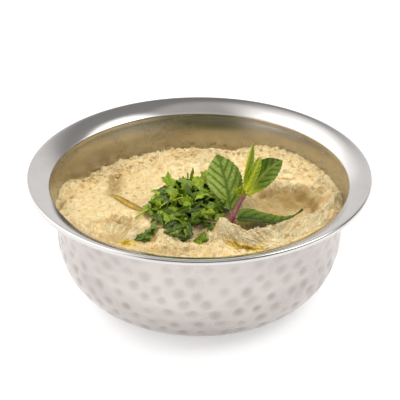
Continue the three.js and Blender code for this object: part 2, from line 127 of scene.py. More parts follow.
def make_piece(name, part, materials, replaced=None, face_slots=None):
    """A smooth mesh. A part is its points in millimetres, its faces and its attributes by name."""
    points, faces, values = part
    mesh = bpy.data.meshes.new(name)
    mesh.from_pydata((np.asarray(points) * MM).tolist(), [], [tuple(face) for face in faces])
    for attribute, numbers in values.items():
        layer = mesh.attributes.new(attribute, "FLOAT", "POINT")
        spread = np.broadcast_to(np.asarray(numbers, dtype=np.float32), len(points))
        layer.data.foreach_set("value", np.ascontiguousarray(spread))
    for material in materials:
        mesh.materials.append(material)
    if face_slots is not None:
        mesh.polygons.foreach_set("material_index", np.asarray(face_slots, dtype=np.int32))
    mesh.polygons.foreach_set("use_smooth", np.ones(len(mesh.polygons), dtype=bool))
    mesh.update()
    piece = bpy.data.objects.new(name, mesh)
    bpy.context.scene.collection.objects.link(piece)
    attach(piece, "root")
    if replaced:
        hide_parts(replaced)


def join_parts(parts):
    """Points, faces and values of several (points, faces, values) as one."""
    points, faces, values, start = [], [], {}, 0
    for part_points, part_faces, part_values in parts:
        points.append(np.asarray(part_points))
        faces += [tuple(int(i) + start for i in face) for face in part_faces]
        for key, numbers in part_values.items():
            values.setdefault(key, []).append(np.broadcast_to(numbers, len(part_points)))
        start += len(part_points)
    return np.concatenate(points), faces, {key: np.concatenate(each) for key, each in values.items()}


def grid_faces(rows, columns):
    """Quads of a grid of rows x columns points, numbered row by row."""
    corner = (np.arange(rows - 1)[:, None] * columns + np.arange(columns - 1)).ravel()
    return np.stack([corner, corner + 1, corner + columns + 1, corner + columns], axis=1)


def border_of(rows, columns):
    """The outer points of a grid in order, once round."""
    top = np.arange(columns)
    right = np.arange(1, rows) * columns + columns - 1
    bottom = (rows - 1) * columns + np.arange(columns - 2, -1, -1)
    left = np.arange(rows - 2, 0, -1) * columns
    return np.concatenate([top, right, bottom, left])


def two_sided(top, bottom):
    """A closed thin solid from two grids of points."""
    rows, columns = top.shape[:2]
    count = rows * columns
    around = border_of(rows, columns)
    following = np.roll(around, -1)
    rim = np.stack([following, around, around + count, following + count], axis=1)
    faces = np.concatenate([grid_faces(rows, columns), grid_faces(rows, columns)[:, ::-1] + count, rim])
    return np.concatenate([top.reshape(-1, 3), bottom.reshape(-1, 3)]), faces


def closed_rings(rows, sides):
    """Faces of a form made of rings of points, with a cap at each end."""
    here = np.arange((rows - 1) * sides).reshape(-1, sides)
    beside = np.roll(here, -1, axis=1)
    quads = np.stack([here, beside, beside + sides, here + sides], axis=2).reshape(-1, 4)
    last = list(range((rows - 1) * sides, rows * sides))
    return [*quads.tolist(), list(range(sides))[::-1], last]


def tube(path, radii, sides=8, squareness=0.0):
    """A closed tube along points, with a radius for each. squareness gives a square stem its corners."""
    path = np.asarray(path, dtype=float)
    ahead = headings(path)
    across = np.cross(ahead, [0.2, 0.1, 1.0])
    steep = np.linalg.norm(across, axis=1) < 0.2
    across[steep] = np.cross(ahead[steep], [1.0, 0.3, 0.0])
    across = unit(across)
    upward = np.cross(across, ahead)
    turn = np.arange(sides)[:, None] * 2 * np.pi / sides
    ring = np.cos(turn) * across[:, None] + np.sin(turn) * upward[:, None]
    swell = 1 + squareness * np.cos(4 * turn)
    points = path[:, None] + ring * swell * np.asarray(radii)[:, None, None]
    return points.reshape(-1, 3), closed_rings(len(path), sides)


def curve_through(way, count):
    """Evenly spaced points on a centripetal Catmull-Rom curve."""
    way = np.asarray(way, dtype=float)
    way = np.concatenate([[2 * way[0] - way[1]], way, [2 * way[-1] - way[-2]]])
    fine = []
    for i in range(1, len(way) - 2):
        p0, p1, p2, p3 = way[i - 1 : i + 3]
        d0, d1, d2 = (np.linalg.norm(b - a) ** 0.5 for a, b in ((p0, p1), (p1, p2), (p2, p3)))
        slope_in = ((p1 - p0) / d0 - (p2 - p0) / (d0 + d1) + (p2 - p1) / d1) * d1
        slope_out = ((p2 - p1) / d1 - (p3 - p1) / (d1 + d2) + (p3 - p2) / d2) * d1
        t = np.linspace(0, 1, 24)[:, None]
        fine.append(
            (2 * t**3 - 3 * t**2 + 1) * p1
            + (t**3 - 2 * t**2 + t) * slope_in
            + (3 * t**2 - 2 * t**3) * p2
            + (t**3 - t**2) * slope_out
        )
    fine = np.concatenate(fine)
    length = np.concatenate([[0], np.cumsum(np.linalg.norm(np.diff(fine, axis=0), axis=1))])
    wanted = np.linspace(0, length[-1], count)
    return np.stack([np.interp(wanted, length, fine[:, axis]) for axis in range(3)], axis=1)


# ---- materials


def srgb(code):
    """A screen colour such as "c8bea0", in the linear light that shaders use."""
    parts = [int(code[i : i + 2], 16) / 255 for i in (0, 2, 4)]
    return tuple(part / 12.92 if part <= 0.04045 else ((part + 0.055) / 1.055) ** 2.4 for part in parts)


class Graph:
    """The nodes of a material or world. A value is a number, vector, colour code or node's output."""

    def __init__(self, owner):
        owner.use_nodes = True
        self.owner, self.tree = owner, owner.node_tree
        self.tree.nodes.clear()

    def node(self, kind, inputs=None, **settings):
        made = self.tree.nodes.new("ShaderNode" + kind)
        for key, value in settings.items():
            setattr(made, key, value)
        for key, value in (inputs or {}).items():
            if isinstance(value, bpy.types.NodeSocket):
                self.tree.links.new(value, made.inputs[key])
            else:
                made.inputs[key].default_value = (*srgb(value), 1) if isinstance(value, str) else value
        return made

    def surface(self, **inputs):
        """The finished material, from its shader's inputs with _ for each space."""
        spaced = {key.replace("_", " "): value for key, value in inputs.items()}
        shader = self.node("BsdfPrincipled", spaced)
        self.node("OutputMaterial", {"Surface": shader.outputs["BSDF"]})
        return self.owner

    def place(self):
        return self.node("TexCoord").outputs["Object"]

    def value(self, name):
        return self.node("Attribute", attribute_name=name).outputs["Fac"]

    def vector(self, x, y, z=0.0):
        return self.node("CombineXYZ", {"X": x, "Y": y, "Z": z}).outputs[0]

    def noise(self, scale, detail=4.0, roughness=0.55, vector=None, stretch=None, distortion=0.0):
        vector = vector or self.place()
        if stretch:
            vector = self.node("Mapping", {"Vector": vector, "Scale": stretch}).outputs["Vector"]
        inputs = {"Scale": scale, "Detail": detail, "Roughness": roughness, "Distortion": distortion}
        return self.node("TexNoise", {"Vector": vector, **inputs}).outputs["Fac"]

    def math(self, operation, *values, clamp=False):
        return self.node("Math", dict(enumerate(values)), operation=operation, use_clamp=clamp).outputs[0]

    def add(self, a, b, clamp=False):
        return self.math("ADD", a, b, clamp=clamp)

    def times(self, a, b, clamp=False):
        return self.math("MULTIPLY", a, b, clamp=clamp)

    def spread(self, value, low, high, to_low=0.0, to_high=1.0, **settings):
        inputs = {"Value": value, "From Min": low, "From Max": high, "To Min": to_low, "To Max": to_high}
        return self.node("MapRange", inputs, **settings).outputs["Result"]

    def ramp(self, factor, stops):
        """stops is a list of (place, colour code)."""
        made = self.node("ValToRGB", {"Fac": factor})
        elements = made.color_ramp.elements
        while len(elements) < len(stops):
            elements.new(0.5)
        for element, (position, code) in zip(elements, stops):
            element.position = position
            element.color = (*srgb(code), 1)
        return made.outputs["Color"]

    def mix(self, factor, a, b):
        return self.node("Mix", {0: factor, 6: a, 7: b}, data_type="RGBA").outputs[2]

    def bump(self, height, distance, strength=1.0, under=None):
        inputs = {"Height": height, "Distance": distance, "Strength": strength}
        if under is not None:
            inputs["Normal"] = under
        return self.node("Bump", inputs).outputs["Normal"]


def steel_material(name, colour, roughness, ring_depth, blotch, dent_shade=None):
    """Spun steel: fine rings round the axis and faint smears; given dent_shade, the hammer marks are
    darkened towards it as painted shade, in place of the darker reflections they catch.
    """
    graph = Graph(bpy.data.materials.new(name))
    x, y, z = graph.node("SeparateXYZ", {"Vector": graph.place()}).outputs
    radius = graph.math("SQRT", graph.add(graph.times(x, x), graph.times(y, y)))
    along_rings = graph.vector(graph.times(graph.math("ARCTAN2", y, x), 0.0015), radius, z)
    rings = graph.noise(2600, 3, 0.7, vector=along_rings)
    broad_rings = graph.noise(700, 2, 0.5, vector=along_rings)
    smears = graph.noise(55, 5, 0.6, distortion=0.4)
    smeared = (*(part * blotch for part in srgb(colour)), 1)
    tint = graph.mix(graph.spread(smears, 0.35, 0.7), colour, smeared)
    if dent_shade:
        # painted shade in the hammer marks, in place of their darker reflections
        tint = graph.mix(graph.value("dent"), tint, dent_shade)
    gloss = graph.math("MULTIPLY_ADD", rings, roughness * 0.5, roughness * 0.55)
    fine = graph.bump(rings, ring_depth * MM)
    return graph.surface(
        Base_Color=tint,
        Metallic=1.0,
        Roughness=graph.add(gloss, graph.spread(smears, 0.45, 0.75, 0.0, roughness * 0.5)),
        Normal=graph.bump(broad_rings, ring_depth * 2 * MM, under=fine),
    )


def dip_material():
    """Mashed aubergine with sesame paste: crumbly, fibrous and flecked, yellower where oil soaked in, with
    painted shade in its creases, hollows and the crumb's low parts and painted highlight on the crumb's
    tops.
    """
    graph = Graph(bpy.data.materials.new("dip_paste"))
    place = graph.place()
    wander = graph.node("TexNoise", {"Vector": place, "Scale": 160.0, "Detail": 2.0}).outputs["Color"]
    shift = graph.node("VectorMath", {0: wander, "Scale": 0.006}, operation="SCALE").outputs[0]
    warped = graph.node("VectorMath", {0: place, 1: shift}, operation="ADD").outputs[0]
    crumbs = graph.node("TexVoronoi", {"Vector": warped, "Scale": 560.0}, feature="SMOOTH_F1")
    hump = graph.math("SUBTRACT", 1.0, crumbs.outputs["Distance"])
    grain = graph.noise(1000, 5, 0.7, warped)
    clods = graph.noise(420, 5, 0.7, warped)
    one_way = graph.noise(900, 3, 0.6, warped, (0.22, 1.0, 0.5))
    other_way = graph.noise(900, 3, 0.6, warped, (1.0, 0.25, 0.5))
    which = graph.spread(graph.noise(60, 2, 0.5), 0.42, 0.58)
    fibres = graph.spread(graph.mix(which, one_way, other_way), 0.3, 0.7)
    run = graph.vector(graph.times(graph.value("along"), 0.11), graph.value("across"))
    strands = graph.math("SUBTRACT", graph.noise(0.62, 3, 0.6, run), 0.5)
    strands = graph.times(strands, graph.times(graph.value("drawn"), 3.6))
    height = graph.add(graph.times(fibres, 0.35), strands)
    for layer, share in ((hump, 0.3), (clods, 0.9), (grain, 0.6)):
        height = graph.add(height, graph.times(layer, share))
    swing = graph.times(graph.math("SUBTRACT", height, 1.07), graph.value("coarse"))
    colour = graph.mix(graph.spread(graph.noise(70, 3, 0.6), 0.3, 0.7), "fbe2aa", "f8d999")
    # painted shade on the fine crumb's low parts and painted highlight on its tops
    colour = graph.mix(graph.spread(swing, -0.27, 0.0, 0.62, 0.0), colour, "daae60")
    colour = graph.mix(graph.spread(swing, 0.0, 0.25, 0.0, 0.8), colour, "fff3c8")
    colour = graph.mix(graph.times(graph.value("fibre"), 0.75), colour, "fff5ce")
    # oil stains, roasting and painted shade in creases and hollows darken the colour
    stains_and_shade = (("oily", 0.85, "a6843a"), ("roast", 0.8, "ac7440"), ("cavity", 0.6, "b09052"))
    for darkening, strength, code in stains_and_shade:
        colour = graph.mix(graph.times(graph.value(darkening), strength, clamp=True), colour, code)
    speck = graph.spread(graph.noise(640, 2, 0.6), 0.69, 0.75)
    chosen = graph.times(graph.spread(graph.noise(110, 2, 0.5), 0.5, 0.6), 0.75)
    return graph.surface(
        Base_Color=graph.mix(graph.times(speck, chosen), colour, "78542e"),
        Roughness=graph.spread(graph.noise(240, 3, 0.6), 0.35, 0.7, 0.62, 0.4),
        Normal=graph.bump(swing, 0.72 * MM),
        Subsurface_Weight=0.12,
        Subsurface_Radius=(1.2, 0.8, 0.4),
        Subsurface_Scale=0.001,
        Specular_IOR_Level=0.4,
    )


def oil_material(name, gloss, stops):
    """Olive oil, with its colour from thin to deep. gloss is less in the shade of a leaf."""
    graph = Graph(bpy.data.materials.new(name))
    swirl = graph.spread(graph.noise(160, 3, 0.6), 0.3, 0.7, -0.12, 0.12)
    return graph.surface(
        Base_Color=graph.ramp(graph.add(graph.value("depth"), swirl, clamp=True), stops),
        Roughness=0.12,
        IOR=1.47,
        Specular_IOR_Level=gloss,
        Subsurface_Weight=0.15,
        Subsurface_Radius=(1.0, 0.6, 0.2),
        Subsurface_Scale=0.001,
        Normal=graph.bump(graph.noise(120, 2, 0.5), 0.15 * MM, 0.4),
    )


def leaf_material(name, vein, blade, light, roughness, tint_stops, gloss=0.25):
    """A leaf: blade and vein colours, mottled, with the tissue's fine grain in the bump; its tint attribute
    also carries painted shade and painted highlight.
    """
    graph = Graph(bpy.data.materials.new(name))
    cells = {"Vector": graph.place(), "Scale": 640.0}
    cells = graph.node("TexVoronoi", cells, feature="DISTANCE_TO_EDGE").outputs["Distance"]
    net = graph.spread(cells, 0.0, 0.3)
    tint = graph.add(graph.value("tint"), graph.spread(net, 0.0, 1.0, -0.13, 0.05), clamp=True)
    body = graph.mix(graph.spread(graph.noise(260, 4, 0.6), 0.3, 0.7), blade, light)
    body = graph.mix(0.85, body, graph.ramp(tint, tint_stops))
    colour = graph.mix(graph.times(graph.value("vein"), 0.7, clamp=True), body, vein)
    return graph.surface(
        Base_Color=graph.mix(graph.value("pale"), colour, "c8cc28"),
        Roughness=graph.spread(graph.noise(400, 3, 0.5), 0.3, 0.7, roughness - 0.1, roughness + 0.12),
        Normal=graph.bump(net, 0.1 * MM, under=graph.bump(graph.noise(1500, 4, 0.6), 0.06 * MM, 0.6)),
        Subsurface_Weight=0.12,
        Subsurface_Radius=(0.5, 0.9, 0.15),
        Subsurface_Scale=0.001,
        Specular_IOR_Level=gloss,
    )


def stem_material():
    """A mint stem: purple with fine length streaks, olive green where it is pale, at its top and on the leaf
    stalks.
    """
    graph = Graph(bpy.data.materials.new("mint_stem_skin"))
    streaks = graph.noise(500, 3, 0.6, stretch=(1.0, 0.6, 0.12))
    purple = graph.mix(graph.spread(streaks, 0.3, 0.7), "64242c", "985450")
    return graph.surface(
        Base_Color=graph.mix(graph.value("pale"), purple, "96963c"),
        Roughness=0.4,
        Normal=graph.bump(streaks, 0.08 * MM),
        Subsurface_Weight=0.1,
        Subsurface_Scale=0.001,
    )


# ---- bowl


def outer_radius(z):
    z = np.asarray(z, dtype=float)
    rise = np.maximum(z - CORNER_HEIGHT, 0) / (NECK_HEIGHT - CORNER_HEIGHT)
    wall = CORNER_RADIUS + (NECK_RADIUS - CORNER_RADIUS) * rise**2
    drop = np.clip((CORNER_HEIGHT - z) / CORNER_HEIGHT, 0, 1)
    foot = BASE_RADIUS + (CORNER_RADIUS - BASE_RADIUS) * np.sqrt(1 - drop * drop)
    return np.where(z >= CORNER_HEIGHT, wall, foot)


def inner_radius(z, inset=WALL):
    z = np.asarray(z, dtype=float)
    drop = np.clip((CORNER_HEIGHT - z) / (CORNER_HEIGHT - inset), 0, 1)
    foot = BASE_RADIUS + (CORNER_RADIUS - BASE_RADIUS - inset) * np.sqrt(1 - drop * drop)
    return np.where(z >= CORNER_HEIGHT, outer_radius(z) - inset, foot)


def arc(centre, radius, from_deg, to_deg, steps, flattened=False):
    """Points round a centre. The rolled lip is flattened: nearly round, with a flatter outer face."""
    turn = np.radians(np.linspace(from_deg, to_deg, steps + 1))
    if flattened:
        square = turn - math.radians(LIP_LEAN)
        radius = radius * (np.abs(np.cos(square)) ** 3 + np.abs(np.sin(square)) ** 3) ** (-1 / 3)
    return np.stack([centre[0] + radius * np.cos(turn), centre[1] + radius * np.sin(turn)], axis=1)


def flange_points(outer, inner, steps):
    """The flange's top between the lip and the inner bend, rounded from one slope to the other."""
    outer_rise, inner_rise = (math.tan(math.radians(slope)) for slope in FLANGE_SLOPES)
    apart = outer[1] - inner[1] - outer_rise * outer[0] + inner_rise * inner[0]
    corner_r = apart / (inner_rise - outer_rise)
    corner = np.array([corner_r, inner[1] + inner_rise * (corner_r - inner[0])])
    t = np.linspace(0, 1, steps + 2)[1:-1, None]
    return (1 - t) ** 2 * outer + 2 * t * (1 - t) * corner + t**2 * inner


def bowl_profile():
    """The bowl's section, (radius, z) from under the axis round to inside it, and each point's steel."""
    normal_deg = 90 + math.degrees(RIM_SLOPE)
    normal = np.array([-math.sin(RIM_SLOPE), math.cos(RIM_SLOPE)])
    bead_centre = np.array([RIM_RADIUS - BEAD_RADIUS, BOWL_HEIGHT - BEAD_RADIUS])
    flange_top_end = bead_centre + normal * BEAD_RADIUS
    bend_r = NECK_RADIUS - WALL + RIM_BEND
    flange_start_r = bend_r + RIM_BEND * normal[0]
    flange_start_z = flange_top_end[1] - (flange_top_end[0] - flange_start_r) * math.tan(RIM_SLOPE)
    bend = (bend_r, flange_start_z - RIM_BEND * normal[1])
    join_deg = math.degrees(math.acos((BEAD_RADIUS - WALL) / BEAD_RADIUS))
    lean = 2 * (NECK_RADIUS - CORNER_RADIUS) / (NECK_HEIGHT - CORNER_HEIGHT)
    wall_deg = 180 - math.degrees(math.atan(lean))

    bottom = np.column_stack([np.linspace(0.5, BASE_RADIUS - 1, 12), np.zeros(12)])
    heights = np.append([0.15, 0.5, 1.0], np.linspace(1.8, NECK_HEIGHT - 1, 116))
    wall = np.column_stack([outer_radius(heights), heights])
    wall[0, 0] -= FOOT_ROUNDING
    under_bend = arc(bend, RIM_BEND - WALL, wall_deg, normal_deg, 6)
    lip_start, lip_end = normal_deg + join_deg - 360, 90 + FLANGE_SLOPES[0]
    bead = arc(bead_centre - [0, LIP_DROP], BEAD_RADIUS, lip_start, lip_end, 26, flattened=True)
    inner_bend = arc(bend, RIM_BEND, 90 + FLANGE_SLOPES[1], wall_deg, 8)
    inner_heights = np.concatenate(
        [np.linspace(NECK_HEIGHT, CORNER_HEIGHT, 18), np.linspace(26, 4, 8), [3.0, 1.6, 1.0, WALL]]
    )
    inside = np.column_stack([inner_radius(inner_heights), inner_heights])
    floor = np.column_stack([np.linspace(BASE_RADIUS - 1, 0.5, 10), np.full(10, WALL)])
    under_flange = np.linspace(under_bend[-1], bead[0], 7)[1:-1]
    flange = flange_points(bead[-1], inner_bend[0], 15)
    stretches = {
        "outside": [bottom, wall],
        "rim": [under_bend, under_flange, bead, flange],
        "inside": [inner_bend, inside, floor],
    }
    points = np.concatenate([points for pieces in stretches.values() for points in pieces])
    kinds = [kind for kind, pieces in stretches.items() for points in pieces for _ in points]
    return points, kinds


def dent_depths(azimuth, height, random):
    """How far the hammer pushed the wall in, and how strongly painted shade darkens each mark, for points on
    the wall.
    """
    depth, painted_dent_shade = np.zeros_like(azimuth), np.zeros_like(azimuth)
    pitch = 2 * np.pi / DENT_COLUMNS
    for row in range(DENT_ROWS):
        for column in range(DENT_COLUMNS):
            radius = random.uniform(2.7, 3.7)
            at_z = DENT_LOWEST + row * DENT_ROW_STEP + random.normal(0, 0.75)
            at_turn = (column + 0.5 * (row % 2)) * pitch + 0.03 * row + random.normal(0, 0.017)
            deep = DENT_DEPTH * random.uniform(0.6, 1.05)
            dent_shade_strength = random.uniform(0.35, 1.0)
            fade = 1 - 0.5 * smooth_step(at_z, 24, 44)
            turn = (azimuth - at_turn + np.pi) % (2 * np.pi) - np.pi
            slant = np.sqrt(1 - min(1, max(0, (CORNER_HEIGHT - at_z) / CORNER_HEIGHT)) ** 2)
            across = turn * outer_radius(at_z)
            along = (height - at_z) / max(0.45, slant)
            away = (across**2 + along**2) / radius**2
            near = away < 1
            depth[near] = np.maximum(depth[near], deep * fade * (1 - away[near]) ** 1.15)
            painted_dent_shade[near] = np.maximum(painted_dent_shade[near], dent_shade_strength * fade * (1 - away[near]) ** 1.3)
    return depth, painted_dent_shade


def make_bowl(inner_steel, rim_steel, outer_steel):
    columns = 492
    profile, kinds = bowl_profile()
    shape = (len(profile), columns)
    azimuth = np.broadcast_to(np.arange(columns) * 2 * np.pi / columns, shape)
    radius = np.broadcast_to(profile[:, :1], shape).copy()
    height = np.broadcast_to(profile[:, 1:], shape).copy()
    is_wall = np.array([kind == "outside" for kind in kinds]) & (profile[:, 1] > 1.5)
    depth, painted_dent_shade = dent_depths(azimuth[is_wall], height[is_wall], np.random.default_rng(7))
    hand = 0.05 * fractal(azimuth[is_wall] * 5, height[is_wall] / 9, 3, seed=3)
    slope = np.gradient(profile[is_wall, 0], profile[is_wall, 1])[:, None]
    lean = np.sqrt(1 + slope**2)
    push = depth + hand * smooth_step(height[is_wall], 3, 10) * (1 - smooth_step(height[is_wall], 40, 47))
    radius[is_wall] -= push / lean
    height[is_wall] += push * slope / lean
    points = np.stack([radius * np.cos(azimuth), radius * np.sin(azimuth), height], axis=2).reshape(-1, 3)
    slot_of = {"inside": 0, "rim": 1, "outside": 2}
    slots = np.repeat([slot_of[kind] for kind in kinds[:-1]], columns).tolist()
    slots += [slot_of["outside"], slot_of["inside"]]
    dent = np.zeros(shape)
    # the dent attribute carries the marks' painted shade
    dent[is_wall] = painted_dent_shade
    part = (points, closed_rings(*shape), {"dent": np.clip(dent.ravel(), 0, 1)})
    make_piece("steel_bowl", part, [inner_steel, rim_steel, outer_steel], "bowl", slots)


# ---- dip surface

# Heaps and hollows: middle, half-lengths, turn in degrees, rise, how flat the top is.
MOUNDS = [
    ((-46, -10), (17, 23), 8, 3.0, 1.3),  # broad heap on the left
    ((-5, 44), (14, 9), 0, 0.8, 1.0),  # back
    ((38, 34), (17, 13), -20, 0.9, 1.3),  # back right
    ((57, 2), (4.5, 9), -10, 2.4, 1.2),  # crest at the right wall
    ((10.5, -21.5), (4.4, 4.6), 20, 5.2, 0.75),  # peak by the stem
    ((-15, -28), (3, 3), 0, 2.6, 0.8),  # small front peaks
    ((-34, -21), (5, 4), 20, 1.6, 1.0),
    ((-39, -26), (5, 4), -20, 1.2, 1.0),
    ((-12, -41), (7, 4), 0, 1.2, 1.0),
    ((3, -42), (5, 4), 0, 1.2, 1.0),
    ((-27, 11), (13, 18), -8, -1.7, 1.6),  # shallow spoon mark on the left
    ((37, -3), (16.5, 13.5), 0, -3.3, 2.2),  # deep spoon hollow on the right
    ((46, 3), (7, 7), 0, -1.4, 1.3),  # its steep back corner
    ((22, -17), (10.5, 6), 6, -4.0, 1.4),  # its lowest end, under the trailing leaf
    ((-31, -33), (5.4, 3.4), 0, -2.6, 1.0),  # small front hollows
    ((-21, -29), (4.5, 5), 0, -3.0, 1.0),
    ((0, -30), (5, 5.5), 0, -3.4, 1.0),
]
# Ridges and grooves: way points, half-width, rise.
RIDGES = [
    ([(-40, 36), (-39, 20), (-38.7, 9)], 1.6, -1.4),
    ([(-38.6, 6), (-35.4, 2.5), (-29, -5.5), (-22, -11)], 1.9, -2.6),
    ([(-61, 4), (-55, 9), (-49, 15), (-46, 22)], 2.4, -2.4),
    ([(57, -6), (50, -12), (41, -19), (34, -25), (24, -27), (15, -27)], 3.6, 2.1),
    ([(8, -26), (13, -32), (17, -37), (26, -38)], 2.8, -2.0),
    ([(27, 12.5), (36, 11.5), (53, 11)], 3.0, 1.2),
]


def turned(x, y, degrees):
    """Distances along and across a direction."""
    turn = math.radians(degrees)
    return x * math.cos(turn) + y * math.sin(turn), y * math.cos(turn) - x * math.sin(turn)


def mound_share(x, y, at, half, turn, flat=1.0):
    """1 at the middle of an ellipse, falling off to 0 outside it."""
    along, across = turned(x - at[0], y - at[1], turn)
    return np.exp(-(((along / half[0]) ** 2 + (across / half[1]) ** 2) ** flat))


def mound_sum(x, y, mounds, flat=1.5):
    """The rises of mounds added up. flat is for those that name no flatness of their own."""
    total = np.zeros_like(x)
    for at, half, turn, rise, *own_flat in mounds:
        total = total + rise * mound_share(x, y, at, half, turn, *(own_flat or [flat]))
    return total


def way_distance(x, y, way):
    """Distance to a line through way points, and how far along it from 0 to 1."""
    nearest = np.full(np.shape(x), np.inf)
    along = np.zeros(np.shape(x))
    lengths = [math.dist(a, b) for a, b in zip(way, way[1:])]
    passed = 0
    for (ax, ay), (bx, by), length in zip(way, way[1:], lengths):
        t = np.clip(((x - ax) * (bx - ax) + (y - ay) * (by - ay)) / length**2, 0, 1)
        away = np.hypot(x - ax - t * (bx - ax), y - ay - t * (by - ay))
        along = np.where(away < nearest, (passed + t * length) / sum(lengths), along)
        nearest = np.minimum(away, nearest)
        passed += length
    return nearest, along


def ridge_share(x, y, way, half):
    """1 on a line through way points, falling off to 0 beside it."""
    return np.exp(-((way_distance(x, y, way)[0] / half) ** 2))


def lumps(x, y):
    broad = np.sin(x * 0.55 + 1.3 * np.sin(y * 0.31)) * np.sin(y * 0.49 + 1.1 * np.sin(x * 0.37 + 1))
    fine = np.sin(x * 1.13 + 1.7 * np.sin(y * 0.71 + 2)) * np.sin(y * 1.27 + 1.5 * np.sin(x * 0.83))
    return 0.22 * broad + 0.12 * fine


def back_drop(x, y):
    """Along the back the paste slopes down before it meets the wall."""
    azimuth = np.degrees(np.arctan2(y, x))
    share = smooth_step(azimuth, 58, 78) * (1 - smooth_step(azimuth, 148, 163))
    return 6 * share * smooth_step(np.hypot(x, y), 47, 62)


def plain_dip_height(x, y):
    """The dip's surface as the solid has it."""
    z = DIP_LEVEL - back_drop(x, y) + lumps(x, y) + mound_sum(x, y, MOUNDS)
    for way, half, rise in RIDGES:
        z = z + rise * ridge_share(x, y, way, half)
    return z


# Sharp edges and furrows too fine for the solid: way points, half-width, rise.
CREASES = [
    ([(26, 11.8), (33, 15), (38.4, 17), (42, 14), (46, 11.6), (55, 9)], 1.4, 1.6),  # the right hollow's edge
    ([(28, 8.2), (37, 12.2), (43, 9.2), (48.4, 6.2), (51.4, 2.0), (50, -3)], 2.2, -2.5),  # under it
    ([(62, 5), (57, -5), (50, -11.5), (44, -17), (38.8, -20.8), (34.4, -23.5)], 1.3, 1.0),  # crest
    ([(34, -23), (29, -27.5), (21.5, -28.6), (14, -27)], 1.2, 0.8),
    ([(59, -1), (54, -6), (49, -9.5)], 1.6, -0.9),
    ([(-40.6, 38), (-40.4, 20), (-40.2, 9)], 0.9, 0.8),  # left lip of the upright groove
    ([(-37, 36), (-36.6, 20), (-36.4, 11)], 1.6, -0.7),
    ([(-62, -8), (-60, -3), (-57, 2)], 1.6, -2.2),  # gap at the left wall
    ([(-41, -22), (-37, -18.5), (-33, -20), (-29.5, -18)], 1.2, 1.7),  # front left crags
    ([(-40, -27), (-36, -25), (-31, -26.6), (-27, -23)], 1.2, 1.4),
    ([(-38, -22.5), (-31, -23)], 1.5, -2.0),
    ([(-44, -30), (-38, -33), (-34, -37)], 1.2, 0.8),
    ([(-16, -31), (-15, -36), (-17, -41)], 1.2, 0.9),
    ([(-2, -34), (-4, -39), (-9, -43)], 1.2, 0.8),
    ([(4, -33), (6, -38), (3, -44)], 1.1, 0.8),
    ([(9.5, -22), (8.5, -28), (9.5, -33)], 1.0, 0.8),
    ([(57, -6), (50, -12), (41, -19), (34, -25)], 3.0, -0.8),  # the front right crest sags
    ([(32, -26), (26, -26.5), (19, -27)], 2.8, -1.3),
]
# Where the spoon or the fork drew the paste into strands: middle, half-lengths, turn of the patch,
# direction of the strands in degrees, height, how far apart they are and how long.
STRANDS = [
    ((26, -31), (11, 8), 20, -38, 0.95, 2.3, 16),
    ((41, -24), (11, 7), 35, 60, 0.9, 2.2, 14),
    ((52, -13), (7, 8), 50, 64, 0.8, 2.2, 14),
    ((14, -31), (6, 8), -50, -52, 0.95, 2.3, 16),
    ((6, -26), (4, 7), 70, 75, 0.75, 2.3, 12),
    ((-45, -4), (14, 16), 20, 35, 0.22, 2.6, 16),
    ((-27, 12), (10, 14), 0, 80, 0.12, 2.2, 14),
    ((40, 2), (13, 10), 0, -15, 0.16, 2.0, 10),
    ((30, 33), (20, 10), -20, -20, 0.22, 2.0, 8),
    ((-30, -24), (10, 8), 0, 60, 0.5, 2.0, 5),
]
# Patches of coarser or finer crumb: middle, half-lengths, change of strength.
CRUMB_PATCHES = [
    ((-31, -27), (16, 10), 1.0),
    ((-5, -38), (20, 8), 0.9),
    ((-46, -4), (14, 17), -0.5),
    ((-27, 12), (11, 16), -0.4),
    ((52, -8), (9, 14), 0.4),
    ((0, 46), (46, 10), 1.2),
]
OIL_STREAK = {
    "way": [(-38.7, 8), (-35.4, 4.4), (-31.7, -0.2), (-27.6, -4.4), (-20.5, -9.6)],
    "level": 40.5,
    "width": 3.9,
    "depth": 1.1,
}
OIL_POOLS = {
    "oil_front_groove": {"at": (18, -35), "half": (11, 5), "turn": -24, "level": 40.1, "calm": 0.0},
    "oil_front_left_hollow": {"at": (-31.2, -33), "half": (5, 3.6), "turn": 0, "level": 39.7},
    "oil_under_leaf": {"at": (22.5, -17), "half": (10, 6.5), "turn": 6, "level": 38.5, "shade": 0.35},
}


def streak_half_width(along):
    """Half-width of the oil streak: a leaf-shaped outline, narrow at both ends."""
    share = np.clip(along, 0, 1)
    return np.maximum(0.3, OIL_STREAK["width"] / 2 * (4 * share * (1 - share)) ** 0.75)


def coarseness(x, y):
    """How crumbly the paste is, 1 on the whole."""
    strength = np.ones_like(x)
    for at, half, change in CRUMB_PATCHES:
        strength = strength + change * mound_share(x, y, at, half, 0)
    return strength


